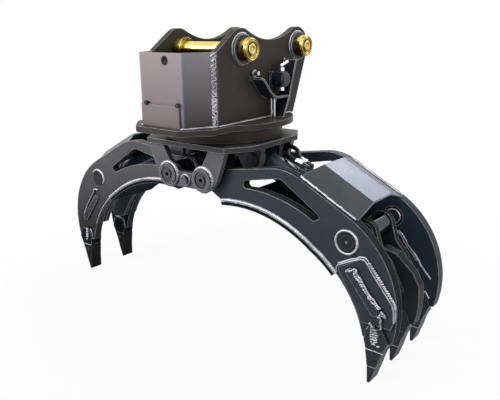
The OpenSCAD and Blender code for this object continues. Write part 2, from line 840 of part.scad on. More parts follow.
// Jaw pivot pin with a sunk hexagon socket in each head
module pivot_pin(s) {
  head_y = lug_out_w / 2;
  color("#5a5b60") from_slew_axis() translate([s * pivot_x, 0, pivot_h]) difference() {
    union() {
      bar_y(pivot_d / 2, -head_y, head_y);
      both_y() bar_y(pin_head_d / 2, head_y, head_y + pin_head_t);
      both_y() bar_y(pin_head_d * 0.29, head_y, head_y + pin_head_t + pin_head_t / 3);
    }
    both_y() translate([0, head_y + pin_head_t * 2, 0]) rotate([90, 0, 0])
      cylinder(d = pin_head_d * 0.27, h = pin_head_t * 1.6, $fn = 6);
  }
}

module pivot_pin_right() {
  pivot_pin(1);
}

module pivot_pin_left() {
  pivot_pin(-1);
}

lug_out_y = cyl_lug_in_w / 2 + cyl_lug_t;
keeper_t = 12;
keeper_d = 84;

module base_pin(s) {
  color("#77797e") from_slew_axis() translate([s * base_pin_x, 0, base_pin_h]) {
    bar_y(cyl_pin_d / 2, -lug_out_y - keeper_t, lug_out_y + keeper_t);
    both_y() bar_y(keeper_d / 2, lug_out_y, lug_out_y + keeper_t);
  }
}

module base_pin_right() {
  base_pin(1);
}

module base_pin_left() {
  base_pin(-1);
}

swivel_port_z = [-38, -78];
swivel_port_x = 26;

module swivel_body() {
  color("#2b2d31") from_slew_axis() difference() {
    union() {
      translate([0, 0, swivel_bottom]) cylinder(d = swivel_d, h = swivel_h);
      both_x() for (z = swivel_port_z) translate([swivel_port_x, 0, deck_bottom + z])
        bar_y(port_d * 0.75, 0, swivel_d / 2 + fitting_stub / 2);
    }
    translate([0, 0, swivel_bottom + swivel_floor]) cylinder(d = spindle_d + 2 * run_fit, h = swivel_h);
  }
}

// Jaws

// Moves children from the jaw pivot into the part's frame, right jaw as drawn, left mirrored
module at_jaw(s) {
  from_slew_axis() {
    if (s > 0) translate([pivot_x, 0, pivot_h]) children();
    else mirror([1, 0, 0]) translate([pivot_x, 0, pivot_h]) children();
  }
}

// How far the chords along the gripping edge cut inside its arc
edge_cos = cos((grip_a0 - grip_a1) / (2 * edge_steps));
root_a = 115;
root_end_a = 279;
back_end_a = asin((tine_end_z - back_c[1]) / back_r);

// Rounding arc between the rising top edge and the slope
crest_ease = crest_r * tan((slope_a + rise_a) / 2);
crest_c = crest - crest_ease * [cos(rise_a), sin(rise_a)] + crest_r * [sin(rise_a), -cos(rise_a)];
root_top_x = 92;
root_top = crest - (crest_x - root_top_x) * [1, tan(rise_a)];

// Whole side of a tine from the pivot to the adapter, before windows and bores
module tine_blank() {
  polygon(concat(
    arc([0, 0], root_r, root_a, root_end_a, 18),
    arc(grip_c, grip_r, grip_a0, grip_a1, edge_steps),
    arc(toe_c, toe_r, toe_a0 - toe_step_a, toe_a1, edge_steps - 1),
    arc(back_c, back_r, back_end_a, 90 - slope_a, 26),
    arc(crest_c, crest_r, 90 - slope_a, 90 + rise_a, 10),
    [root_top]
  ));
}

// Space inside the gripping edge, moved outwards by gap
module grip_space_2d(gap) {
  translate(grip_c) circle(r = grip_r + gap, $fn = 160);
  translate(toe_c) circle(r = toe_r + gap, $fn = 160);
}

// Points [x, z, rounding] given in shares of the jaw's reach
function reach_pts(shares) = [for (q = shares) jaw_reach * q];

// Window between root and cylinder pin, with a curved lower edge
window_r = 711;
window_a0 = 90.6;
window_sill_share = [0.236, -0.018];
window_end_share = 0.592;
window_shares = [[0.203, -0.021, 0.016], [0.209, 0.016, 0.015], [0.416, 0.056, 0.041], [0.632, -0.087, 0.012]];
window_c = jaw_reach * window_sill_share - window_r * [cos(window_a0), sin(window_a0)];
window_a1 = acos((jaw_reach * window_end_share - window_c[0]) / window_r);

module window_2d() {
  low = [for (q = arc(window_c, window_r, window_a1, window_a0, 14)) [q[0], q[1], 0]];
  polygon(rounded(concat(low, reach_pts(window_shares))));
}

// Wear plate and strip on the outer face, near the tip
doubler_shares = [
  [0.72, -0.284, 0.014], [0.842, -0.217, 0.02], [0.983, -0.379, 0.014], [0.99, -0.47, 0.01],
  [0.98, -0.502, 0], [0.83, -0.506, 0], [0.805, -0.428, 0]
];
strip_shares = [
  [0.763, -0.289, 0.006], [0.787, -0.271, 0.006], [0.92, -0.422, 0.006], [0.92, -0.456, 0.006],
  [0.895, -0.456, 0.006]
];

module doubler_2d() {
  difference() {
    polygon(rounded(reach_pts(doubler_shares)));
    grip_space_2d(doubler_t);
  }
}

module tine_plate(y0) {
  plate_xz(y0, tine_t) difference() {
    tine_blank();
    window_2d();
    circle(d = hub_d);
    translate(rod_eye) circle(d = rod_head_d);
  }
}

// Outer tine at the +Y side of a jaw
module outer_tine(out_y) {
  tine_plate(out_y - tine_t);
}

// Wear strip welded on from y on
module wear_strip(y) {
  plate_xz(y, doubler_t) polygon(rounded(reach_pts(strip_shares)));
}

right_y = jaw_right_w / 2;
left_y = jaw_left_w / 2;

module tine_right_front() {
  color("#3d3e42") at_jaw(1) mirror([0, 1, 0]) outer_tine(right_y);
}

module tine_right_rear() {
  color("#3d3e42") at_jaw(1) outer_tine(right_y);
}

module tine_left_front() {
  color("#3d3e42") at_jaw(-1) mirror([0, 1, 0]) outer_tine(left_y);
}

module tine_left_rear() {
  color("#3d3e42") at_jaw(-1) outer_tine(left_y);
}

module wear_plates_right() {
  color("#3a3b40") at_jaw(1) both_y() {
    plate_xz(right_y, doubler_t) doubler_2d();
    wear_strip(right_y + doubler_t);
  }
}

module wear_plates_left() {
  color("#3a3b40") at_jaw(-1) both_y() wear_strip(left_y);
}

// Middle tine: starts below the cylinder pin and follows the same back
centre_shares = [
  [0.652, -0.301], [0.815, -0.244], [0.884, -0.261], [0.966, -0.334], [0.99, -0.379], [1.04, -0.46],
  [1.04, -0.8], [0.6, -0.8]
];

module tine_right_centre() {
  color("#33363d") at_jaw(1) plate_xz(-tine_t / 2, tine_t) intersection() {
    tine_blank();
    polygon(jaw_reach * centre_shares);
  }
}

// Belly plate just inside the tines' gripping edge, as far as angle end_a of its outer arc
belly_end_right_a = 44;
belly_end_left_a = 51;
belly_steps = 8;

module belly(half_w, end_a) {
  grip_out = grip_r * edge_cos - seat_gap;
  toe_out = toe_r * edge_cos - seat_gap;
  step_a = (toe_a0 - end_a) / belly_steps;
  plate_xz(-half_w - belly_lip, 2 * (half_w + belly_lip)) polygon(concat(
    arc(grip_c, grip_out, grip_a0, grip_a1, edge_steps),
    arc(toe_c, toe_out, toe_a0 - step_a, end_a, belly_steps - 1),
    arc(toe_c, toe_out - belly_t, end_a, toe_a0, belly_steps),
    arc(grip_c, grip_out - belly_t, grip_a1, grip_a0, edge_steps)
  ));
}

module belly_right() {
  color("#2e3036") at_jaw(1) belly(right_y, belly_end_right_a);
}

module belly_left() {
  color("#2e3036") at_jaw(-1) belly(left_y, belly_end_left_a);
}

hub_gap = 2;

module hub() {
  reach = lug_out_w / 2 - lug_t - hub_gap;
  difference() {
    bar_y(hub_d / 2 - seat_gap, -reach, reach);
    bar_y(pivot_d / 2 + run_fit, -reach - over, reach + over);
  }
}

module hub_right() {
  color("#4a4b50") at_jaw(1) hub();
}

module hub_left() {
  color("#4a4b50") at_jaw(-1) hub();
}

// Lug plate inside the jaw that carries the cylinder's rod end
rod_lobe_r = 60;
rod_lug_slack = 15;
stub_short = 4;
head_proud = 3;

rod_lug_shares = [
  [0.839, -0.233], [0.887, -0.287], [0.944, -0.403], [0.91, -0.49], [0.61, -0.43], [0.561, -0.265]
];

module rod_lug_outline() {
  difference() {
    union() {
      translate(rod_eye) circle(r = rod_lobe_r);
      polygon(concat(
        [rod_eye + rod_lobe_r * [-0.94, 0.34], rod_eye, rod_eye + rod_lobe_r * [0.97, 0.2]],
        jaw_reach * rod_lug_shares
      ));
    }
    grip_space_2d(seat_gap);
    translate(rod_eye) circle(d = cyl_pin_d + 2 * rod_lug_slack);
  }
}

module rod_lugs() {
  both_y() plate_xz(cyl_lug_in_w / 2, cyl_lug_t) rod_lug_outline();
}

module rod_lugs_right() {
  color("#33363d") at_jaw(1) rod_lugs();
}

module rod_lugs_left() {
  color("#33363d") at_jaw(-1) rod_lugs();
}

// Pin ends: flush head in the tine, tube, and keeper disc against the lug
module rod_pin(half_w) {
  tube_d = rod_head_d * 0.65;
  head_in = half_w - tine_t;
  translate([rod_eye[0], 0, rod_eye[1]]) both_y() {
    bar_y(rod_head_d / 2 - seat_gap, head_in, half_w + head_proud);
    bar_y(tube_d / 2, lug_out_y, head_in + over);
    bar_y(rod_head_d / 2, lug_out_y, lug_out_y + keeper_t);
  }
}

module rod_pin_right() {
  color("#4d4e54") at_jaw(1) rod_pin(right_y);
}

module rod_pin_left() {
  color("#4d4e54") at_jaw(-1) rod_pin(left_y);
}

// Roof-shaped guard over the cylinder, seated on the straight upper edges of the outer tines
guard_from = 64;
guard_len = 318;
guard_lean = 24;
fold_share = 0.39;

module guard(half_w) {
  foot_y = half_w - tine_t / 2;
  fold_y = foot_y * fold_share;
  seat = crest + guard_from * slope_d;
  wall = guard_t / cos(atan(guard_h / (foot_y - fold_y)));
  translate([seat[0], 0, seat[1]]) rotate([0, slope_a, 0]) difference() {
    rotate([90, 0, 90]) linear_extrude(guard_len) polygon([
      [-foot_y, 0], [-fold_y, guard_h], [fold_y, guard_h], [foot_y, 0],
      [foot_y - wall * 1.6, 0], [fold_y - guard_t / 2, guard_h - guard_t],
      [-fold_y + guard_t / 2, guard_h - guard_t], [-foot_y + wall * 1.6, 0]
    ]);
    rotate([0, guard_lean, 0]) translate([-guard_len, -half_w, -guard_h]) cube([guard_len, 2 * half_w, 4 * guard_h]);
    translate([guard_len, 0, 0]) rotate([0, -guard_lean, 0]) translate([0, -half_w, -guard_h])
      cube([guard_len, 2 * half_w, 4 * guard_h]);
  }
}

module guard_right() {
  color("#6f747c") at_jaw(1) guard(right_y);
}

module guard_left() {
  color("#6f747c") at_jaw(-1) guard(left_y);
}

// Weld-on adapter: two cheeks over the tine's end and a nose inside the tooth. Its outlines and
// the tooth's start at the lip's inner corner, in shares of the tooth's length
pocket_gap = 0.3;
adapter_step = 23;
adapter_h = 42;
lip_at = [toe_c[0] + toe_r * cos(toe_a1) + adapter_step, tine_end_z - adapter_h];
tooth_l = pivot_h + lip_at[1] - pocket_gap;
nose_w = 46;
adapter_shares = [
  [0, 0], [0.48, 0], [0.61, 0.28], [0.52, 0.5], [0.42, 0.66], [0.05, 0.64], [-0.03, 0.5], [-0.07, 0.25]
];
nose_shares = [[0.07, 0.02], [0.41, 0.02], [0.26, -0.39], [0.12, -0.39]];
tooth_shares = [
  [-0.012, 0], [0.49, 0], [0.385, -0.26], [0.3, -0.57], [0.155, -1], [0.085, -1], [0.065, -0.55]
];
tooth_pin_share = [0.215, -0.17];

module at_lip(y) {
  translate([lip_at[0], y, lip_at[1]]) children();
}

module tooth_pin_bore(reach) {
  pin_at = tooth_l * tooth_pin_share;
  translate([pin_at[0], 0, pin_at[1]]) bar_y(tooth_pin_d / 2 + seat_gap, -reach, reach);
}

module adapter(y) {
  at_lip(y) {
    difference() {
      plate_xz(-tooth_w / 2, tooth_w) polygon(tooth_l * adapter_shares);
      translate([-tooth_l, -tine_t / 2 - seat_gap, adapter_h]) cube([3 * tooth_l, tine_t + 2 * seat_gap, tooth_l]);
    }
    difference() {
      plate_xz(-nose_w / 2, nose_w) polygon(tooth_l * nose_shares);
      tooth_pin_bore(nose_w);
    }
  }
}

module tooth(y) {
  at_lip(y) translate([0, 0, -pocket_gap]) difference() {
    plate_xz(-tooth_w / 2, tooth_w) polygon(tooth_l * tooth_shares);
    plate_xz(-nose_w / 2 - pocket_gap, nose_w + 2 * pocket_gap)
      offset(delta = pocket_gap) polygon(tooth_l * nose_shares);
    translate([0, 0, pocket_gap]) tooth_pin_bore(tooth_w);
  }
}

module tooth_pin(y) {
  pin_at = tooth_l * tooth_pin_share;
  at_lip(y) translate([pin_at[0], 0, pin_at[1]])
    bar_y(tooth_pin_d / 2, -tooth_w / 2 - head_proud, tooth_w / 2 + head_proud);
}

right_tines_y = [-right_y + tine_t / 2, 0, right_y - tine_t / 2];
left_tines_y = [-left_y + tine_t / 2, left_y - tine_t / 2];

module adapters_right() {
  color("#2a2b2f") at_jaw(1) for (y = right_tines_y) adapter(y);
}

module adapters_left() {
  color("#2a2b2f") at_jaw(-1) for (y = left_tines_y) adapter(y);
}

module teeth_right() {
  color("#26272b") at_jaw(1) for (y = right_tines_y) tooth(y);
}

module teeth_left() {
  color("#26272b") at_jaw(-1) for (y = left_tines_y) tooth(y);
}

module tooth_pins_right() {
  color("#8e9096") at_jaw(1) for (y = right_tines_y) tooth_pin(y);
}

module tooth_pins_left() {
  color("#8e9096") at_jaw(-1) for (y = left_tines_y) tooth_pin(y);
}

// Cylinders, drawn along +X from the base pin

module at_cylinder(s) {
  at_jaw(s) translate([base_pin_at[0], 0, base_pin_at[1]]) rotate([0, cyl_a, 0]) children();
}

block_x = 262;
block_h = 22;
block_l = 64;
block_w = 74;
port_gap = 36;
block_top = barrel_d / 2 + block_h;
elbow_reach = 30;

module barrel() {
  difference() {
    union() {
      bar_y(eye_d / 2, -eye_w / 2, eye_w / 2);
      bar_x(barrel_d / 2, eye_d * 0.3, barrel_end);
      bar_x(gland_d / 2, barrel_end, gland_end);
      translate([block_x - block_l / 2, -block_w / 2, 0]) cube([block_l, block_w, block_top]);
      for (s = [-1, 1]) translate([block_x, s * port_gap / 2, block_top]) {
        cylinder(d = hose_d * 1.3, h = fitting_stub / 2, $fn = 6);
        cylinder(d = hose_d * 0.9, h = fitting_stub);
        translate([0, 0, fitting_stub]) sphere(d = hose_d * 0.95);
        translate([0, 0, fitting_stub]) bar_x(hose_d * 0.45, -elbow_reach, 0);
      }
    }
    bar_y(cyl_pin_d / 2 + run_fit, -eye_w, eye_w);
    bar_x(bore_d / 2, bore_start, barrel_end + over);
    bar_x(rod_d / 2 + run_fit, barrel_end, gland_end + over);
  }
}

module barrel_right() {
  color("#2a3340") at_cylinder(1) barrel();
}

module barrel_left() {
  color("#2a3340") at_cylinder(-1) barrel();
}

// Rod with its piston, end eye and the pin that turns in the jaw's lugs
module rod() {
  piston_x = bore_start + piston_gap;
  bar_x(bore_d / 2 - slide_gap, piston_x, piston_x + piston_l);
  bar_x(rod_d / 2, piston_x, cyl_len - eye_d / 4);
  translate([cyl_len, 0, 0]) {
    bar_y(eye_d / 2, -eye_w / 2, eye_w / 2);
    bar_y(cyl_pin_d / 2, -lug_out_y + stub_short, lug_out_y - stub_short);
  }
}

module rod_right() {
  color("#b9bcc2") at_cylinder(1) rod();
}

module rod_left() {
  color("#b9bcc2") at_cylinder(-1) rod();
}

// Hoses from the swivel to the block on the barrel, right side as drawn, from the slewing axis
hose_sides = 10;
hose_routes = [
  [
    [26, 64.2, 867], [26, 84, 867], [34, 108, 871], [56, 126, 876], [92, 134, 880], [150, 136, 882],
    [220, 136, 882], [290, 134, 880], [340, 126, 876], [380, 104, 868], [408, 72, 860], [432, 42, 853],
    [456, 23, 849], [476.6, 18, 843.8], [489.7, 18, 838.8]
  ],
  [
    [26, 64.2, 827], [26, 82, 827], [33, 102, 832], [54, 116, 842], [92, 121, 852], [150, 122, 858],
    [220, 122, 860], [280, 120, 861], [318, 108, 863], [344, 80, 866], [364, 46, 866], [388, 14, 862],
    [420, -8, 856], [452, -17, 850], [476.6, -18, 843.8], [489.7, -18, 838.8]
  ]
];

// Rings of a tube swept along route p, each square to the run there
function ring_dirs(p) =
  [for (i = [0 : len(p) - 1]) unit(p[min(i + 1, len(p) - 1)] - p[max(i - 1, 0)])];

function ring_pts(c, d, r) =
  let (
    u = unit(cross(d, [0, 0, 1])),
    v = cross(d, u)
  )
  [for (k = [0 : hose_sides - 1])
    c + r * (u * cos(360 * k / hose_sides) + v * sin(360 * k / hose_sides))];

module hose(p, r) {
  d = ring_dirs(p);
  n = len(p);
  m = hose_sides;
  pts = [for (i = [0 : n - 1]) each ring_pts(p[i], d[i], r)];
  sides = [for (i = [0 : n - 2], k = [0 : m - 1])
    each [
      [i * m + k, i * m + (k + 1) % m, (i + 1) * m + k],
      [i * m + (k + 1) % m, (i + 1) * m + (k + 1) % m, (i + 1) * m + k]
    ]];
  caps = [
    [for (k = [m - 1 : -1 : 0]) k],
    [for (k = [0 : m - 1]) (n - 1) * m + k]
  ];
  polyhedron(points = pts, faces = concat(sides, caps));
}

module hoses_right() {
  color("#18191b") from_slew_axis() for (p = hose_routes) hose(p, hose_d / 2);
}

module hoses_left() {
  color("#18191b") from_slew_axis() mirror([1, 0, 0]) for (p = hose_routes) hose(p, hose_d / 2);
}

base_plate();
ear_left();
ear_right();
ear_boss_rings();
front_box();
access_cover();
head_bolts();
rear_cross_plate();
hitch_pin_front();
hitch_pin_rear();
pin_collars();
valve_guards();
slew_valve();
valve_fittings();
slew_motor();
slew_skirt();
slew_ring_outer();
slew_balls();
swivel_spindle();
slew_pinion();
slew_ring_inner();
deck_plate();
lug_plate_front();
lug_plate_rear();
base_lugs();
tie_bar();
pivot_pin_right();
pivot_pin_left();
base_pin_right();
base_pin_left();
swivel_body();
tine_right_front();
tine_right_rear();
tine_right_centre();
wear_plates_right();
belly_right();
hub_right();
rod_lugs_right();
rod_pin_right();
guard_right();
adapters_right();
teeth_right();
tooth_pins_right();
tine_left_front();
tine_left_rear();
wear_plates_left();
belly_left();
hub_left();
rod_lugs_left();
rod_pin_left();
guard_left();
adapters_left();
teeth_left();
tooth_pins_left();
barrel_right();
rod_right();
barrel_left();
rod_left();
hoses_right();
hoses_left();
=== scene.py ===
import json
import math
import random

import bmesh
import bpy
from mathutils import Matrix, Vector, noise


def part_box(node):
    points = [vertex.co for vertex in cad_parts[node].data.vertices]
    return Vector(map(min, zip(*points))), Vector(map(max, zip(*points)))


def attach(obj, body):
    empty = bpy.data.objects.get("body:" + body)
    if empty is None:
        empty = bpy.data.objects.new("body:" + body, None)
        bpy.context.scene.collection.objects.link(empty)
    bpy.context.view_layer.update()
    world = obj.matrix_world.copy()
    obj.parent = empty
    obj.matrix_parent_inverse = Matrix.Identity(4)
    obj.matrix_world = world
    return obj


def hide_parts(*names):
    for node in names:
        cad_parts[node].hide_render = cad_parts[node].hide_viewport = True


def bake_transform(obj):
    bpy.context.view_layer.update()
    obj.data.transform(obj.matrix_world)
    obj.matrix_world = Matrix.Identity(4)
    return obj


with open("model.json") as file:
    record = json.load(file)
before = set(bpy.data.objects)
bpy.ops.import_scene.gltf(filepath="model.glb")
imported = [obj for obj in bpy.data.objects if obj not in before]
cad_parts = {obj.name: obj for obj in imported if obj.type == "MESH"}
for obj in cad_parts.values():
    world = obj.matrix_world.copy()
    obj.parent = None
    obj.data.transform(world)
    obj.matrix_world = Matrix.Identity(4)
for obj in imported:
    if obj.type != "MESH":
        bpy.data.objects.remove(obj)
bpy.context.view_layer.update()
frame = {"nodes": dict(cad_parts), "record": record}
nodes = frame["nodes"]
MM = 0.001
AXIS_Y = 0.018      # the slewing axis lies this far behind the middle
PIN_H = 1.355       # hitch pins, over the ground
PIVOT_X = 0.112     # jaw pivots, to each side of the slewing axis
PIVOT_H = 0.764     # jaw pivots, over the ground

# Camera
CAM_PLACE = (1.9927, -2.298, 0.1182 + PIN_H)
CAM_TURN = (38.34, 16.41, -0.74)
cam_data = bpy.data.cameras.new("camera")
cam_data.lens = 43.487
cam_data.sensor_width = 36.0
cam = bpy.data.objects.new("camera", cam_data)
bpy.context.scene.collection.objects.link(cam)
yaw, pitch, roll = (math.radians(a) for a in CAM_TURN)
ahead = Vector((-math.sin(yaw) * math.cos(pitch), math.cos(yaw) * math.cos(pitch), -math.sin(pitch)))
level = Vector((math.cos(yaw), math.sin(yaw), 0.0))
upright = level.cross(ahead)
cam_x = math.cos(roll) * level + math.sin(roll) * upright
cam_y = -math.sin(roll) * level + math.cos(roll) * upright
cam_axes = Matrix((cam_x, cam_y, -ahead)).transposed().to_4x4()
cam.matrix_world = Matrix.Translation(CAM_PLACE) @ cam_axes
bpy.context.scene.camera = cam
bpy.context.scene.view_settings.view_transform = "Standard"


# Shader helpers
class Tree:
    """Short-hand for building one material's node tree."""

    def __init__(self, name):
        self.mat = bpy.data.materials.new(name)
        self.mat.use_nodes = True
        self.t = self.mat.node_tree
        self.t.nodes.clear()
        self.out = self.add("ShaderNodeOutputMaterial")
        self.bsdf = self.add("ShaderNodeBsdfPrincipled")
        self.link(self.bsdf.outputs[0], self.out.inputs[0])
        coord = self.add("ShaderNodeTexCoord")
        self.coord = coord.outputs["Object"]
        self.normal = coord.outputs["Normal"]

    def add(self, kind, **values):
        n = self.t.nodes.new(kind)
        for k, v in values.items():
            setattr(n, k, v)
        return n

    def link(self, a, b):
        self.t.links.new(a, b)

    def put(self, socket, value):
        if isinstance(value, bpy.types.NodeSocket):
            self.link(value, socket)
        else:
            socket.default_value = value

    def noise(self, scale, detail=4.0, rough=0.55):
        n = self.add("ShaderNodeTexNoise")
        self.link(self.coord, n.inputs["Vector"])
        n.inputs["Scale"].default_value = scale
        n.inputs["Detail"].default_value = detail
        n.inputs["Roughness"].default_value = rough
        return n.outputs["Fac"]

    def ramp(self, fac, lo, hi, a=0.0, b=1.0):
        """a at lo to b at hi, held outside."""
        n = self.add("ShaderNodeMapRange")
        n.inputs["From Min"].default_value = lo
        n.inputs["From Max"].default_value = hi
        n.inputs["To Min"].default_value = a
        n.inputs["To Max"].default_value = b
        self.link(fac, n.inputs["Value"])
        return n.outputs["Result"]

    def math(self, op, a, b=0.0):
        n = self.add("ShaderNodeMath", operation=op)
        self.put(n.inputs[0], a)
        self.put(n.inputs[1], b)
        return n.outputs[0]

    def mix(self, fac, a, b):
        n = self.add("ShaderNodeMix", data_type="RGBA")
        self.put(n.inputs["Factor"], fac)
        for sock, v in ((n.inputs[6], a), (n.inputs[7], b)):
            self.put(sock, v if isinstance(v, bpy.types.NodeSocket) else (*v, 1.0))
        return n.outputs[2]

    def part(self, vector, axis):
        n = self.add("ShaderNodeSeparateXYZ")
        self.link(vector, n.inputs[0])
        return n.outputs[axis]

    def bevel(self, radius):
        n = self.add("ShaderNodeBevel", samples=4)
        n.inputs["Radius"].default_value = radius
        return n.outputs[0]

    def edge_mask(self, radius, lo, hi):
        """1 along sharp edges, 0 on the flats."""
        geo = self.add("ShaderNodeNewGeometry")
        dot = self.add("ShaderNodeVectorMath", operation="DOT_PRODUCT")
        self.link(self.bevel(radius), dot.inputs[0])
        self.link(geo.outputs["Normal"], dot.inputs[1])
        return self.ramp(self.math("SUBTRACT", 1.0, dot.outputs["Value"]), lo, hi)

    def occlusion(self, distance, lo, hi, low):
        """low in tight corners, 1 on open faces."""
        n = self.add("ShaderNodeAmbientOcclusion", samples=5)
        n.inputs["Distance"].default_value = distance
        return self.ramp(n.outputs["AO"], lo, hi, low, 1.0)

    def facing(self, axis, lo, hi, mirror=True):
        """0 to 1 as the face's own normal turns towards an axis of the object."""
        along = self.part(self.normal, axis)
        return self.ramp(self.math("ABSOLUTE", along) if mirror else along, lo, hi)

    def height(self, lo, hi, a, b):
        return self.ramp(self.part(self.coord, "Z"), lo, hi, a, b)

    def bump(self, height, strength, distance, normal=None):
        n = self.add("ShaderNodeBump")
        n.inputs["Strength"].default_value = strength
        n.inputs["Distance"].default_value = distance
        self.link(height, n.inputs["Height"])
        if normal is not None:
            self.link(normal, n.inputs["Normal"])
        return n.outputs[0]


# Scales of the patterns in paint and metal, in features per metre
DRIFT, PATCHES, GLOSS, WEAR, GRAIN, DUST, BRUSH, PEEL = 2.2, 6.5, 9.0, 19.0, 24.0, 46.0, 240.0, 420.0
HIGHLIGHT_LINE_WANDER = 0.006


def times(color, share):
    return tuple(c * share for c in color)


def paint(name, base, tint, rough=0.42, edge=(0.70, 0.70, 0.73), wear_and_highlight=0.9, bevel=0.0045, spec=0.22,
          coat=0.0, shade_below=None, line=None, dirt=0.30, corner_shade=0.45, depth=0.06, soft=None, light_by_facing=None,
          one_side=False, matt=0.0, fold_highlight=None):
    """Sprayed enamel: slow colour drift, orange peel, painted shade in corners, bright edges that are
    partly paint rubbed off and partly a painted highlight.

    shade_below = (z0, z1, share at z0) paints shade that darkens towards z0, with a fourth value for
    the faces that light_by_facing picks.
    line = (z, half width) draws a pale line across at height z, a painted highlight.
    light_by_facing = (axis, lo, hi, colour) gives the faces that look along an axis their own colour,
    a painted light or shade, with matt also a duller gloss, and one_side spares the faces that look
    the other way.
    fold_highlight = (axis, part, half, colour) paints a highlight along the round of a bend."""
    m = Tree(name)
    col = m.mix(m.ramp(m.noise(DRIFT, 3.0, 0.5), 0.35, 0.65), base, tint)
    # Painted light and shade: faces that look along an axis get their own lighter or darker colour
    if light_by_facing:
        axis, lo, hi, other = light_by_facing
        side = m.facing(axis, lo, hi, mirror=not one_side)
        col = m.mix(side, col, other)
    # Painted highlight: a band in its own colour along the round of a bend
    if fold_highlight:
        axis, part, half, tone = fold_highlight
        near = m.math("ABSOLUTE", m.math("SUBTRACT", m.facing(axis, 0.0, 1.0), part))
        col = m.mix(m.ramp(near, half, 0.0, 0.0, 0.8), col, tone)
    # Fine pale dust and larger dark patches
    dust = m.math("MULTIPLY", m.ramp(m.noise(DUST, 5.0, 0.65), 0.50, 0.80), dirt)
    col = m.mix(dust, col, tuple(c * 1.7 + 0.006 for c in base))
    patches = m.math("MULTIPLY", m.ramp(m.noise(PATCHES, 6.0, 0.7), 0.50, 0.72), dirt)
    col = m.mix(patches, col, times(base, 0.5))
    # Painted shade: the colour darkens towards the bottom, z0, and more on the faces picked by facing
    if shade_below:
        z0, z1, low = shade_below[:3]
        share = m.height(z0, z1, 1.0 - low, 0.0)
        if len(shade_below) > 3:
            deep = m.height(z0, z1, 1.0 - shade_below[3], 0.0)
            share = m.math("ADD", share, m.math("MULTIPLY", side, m.math("SUBTRACT", deep, share)))
        col = m.mix(share, col, times(base, 0.06))
    # Painted highlight: a pale line across at one height, wandering a little
    if line:
        z, half = line
        wave = m.math("MULTIPLY", m.noise(30.0, 3.0, 0.6), HIGHLIGHT_LINE_WANDER)
        level = m.math("SUBTRACT", m.part(m.coord, "Z"), wave)
        off = m.math("ABSOLUTE", m.math("SUBTRACT", level, z - HIGHLIGHT_LINE_WANDER / 2))
        col = m.mix(m.math("MULTIPLY", m.ramp(off, half, half * 0.4), 0.55), col, edge)
    # Painted shade: corners, creases and recesses darken towards a tenth of the base colour
    corners = m.math("SUBTRACT", 1.0, m.occlusion(depth, 0.25, 0.75, 1.0 - corner_shade))
    col = m.mix(corners, col, times(base, 0.1))
    # Bright edges: partly paint rubbed off, partly a painted highlight where edges catch the light
    broken = m.ramp(m.noise(WEAR, 4.0, 0.7), 0.36, 0.60, 0.35, 1.0)
    worn_and_lit = m.math("MULTIPLY", m.math("MULTIPLY", m.edge_mask(bevel, 0.03, 0.22), broken), wear_and_highlight)
    col = m.mix(worn_and_lit, col, edge)
    m.link(col, m.bsdf.inputs["Base Color"])
    gloss = m.ramp(m.noise(GLOSS, 4.0, 0.6), 0.3, 0.7, rough - 0.05, rough + 0.07)
    if matt:
        gloss = m.math("MAXIMUM", gloss, m.math("MULTIPLY", side, matt))
    m.link(gloss, m.bsdf.inputs["Roughness"])
    m.bsdf.inputs["Specular IOR Level"].default_value = spec
    m.bsdf.inputs["Coat Weight"].default_value = coat
    m.bsdf.inputs["Coat Roughness"].default_value = 0.2
    peel = m.bump(m.noise(PEEL, 2.0, 0.5), 0.08, 0.0006, m.bevel(soft or bevel * 0.8))
    m.link(peel, m.bsdf.inputs["Normal"])
    return m.mat


def metal(name, base, tint, rough=0.3, bevel=0.002, grain=0.06, metallic=1.0, spread=0.05, groove_shade=None,
          underside_shade=None, near=None):
    """Bare, plated or machined metal.

    groove_shade is a painted shade in grooves, and underside_shade a painted shade on downward faces.
    near = (x, z, radius, colour) is the colour round the axis through (+-x, z)."""
    m = Tree(name)
    col = m.mix(m.ramp(m.noise(GLOSS, 3.0, 0.5), 0.3, 0.7), base, tint)
    # Painted shade on downward faces
    if underside_shade:
        col = m.mix(m.facing("Z", 0.30, -0.35, mirror=False), col, underside_shade)
    if near:
        x, z, radius, tone = near
        dx = m.math("SUBTRACT", m.math("ABSOLUTE", m.part(m.coord, "X")), x)
        dz = m.math("SUBTRACT", m.part(m.coord, "Z"), z)
        squares = m.math("ADD", m.math("MULTIPLY", dx, dx), m.math("MULTIPLY", dz, dz))
        col = m.mix(m.ramp(m.math("SQRT", squares), radius, radius - 0.002), col, tone)
    # Painted shade in grooves and recesses
    if groove_shade:
        col = m.mix(m.math("SUBTRACT", 1.0, m.occlusion(0.018, 0.30, 0.85, 0.0)), col, groove_shade)
    m.link(col, m.bsdf.inputs["Base Color"])
    m.bsdf.inputs["Metallic"].default_value = metallic
    gloss = m.ramp(m.noise(GRAIN, 3.0, 0.5), 0.3, 0.7, rough - spread, rough + spread)
    m.link(gloss, m.bsdf.inputs["Roughness"])
    normal = m.bevel(bevel)
    if grain:
        normal = m.bump(m.noise(BRUSH, 2.0, 0.5), grain, 0.0004, normal)
    m.link(normal, m.bsdf.inputs["Normal"])
    return m.mat


def rubber(name, base):
    m = Tree(name)
    col = m.mix(m.ramp(m.noise(30.0), 0.3, 0.7), base, times(base, 1.8))
    m.link(col, m.bsdf.inputs["Base Color"])
    m.bsdf.inputs["Roughness"].default_value = 0.5
    m.bsdf.inputs["Specular IOR Level"].default_value = 0.15
    m.link(m.bump(m.noise(500.0), 0.25, 0.0006), m.bsdf.inputs["Normal"])
    return m.mat


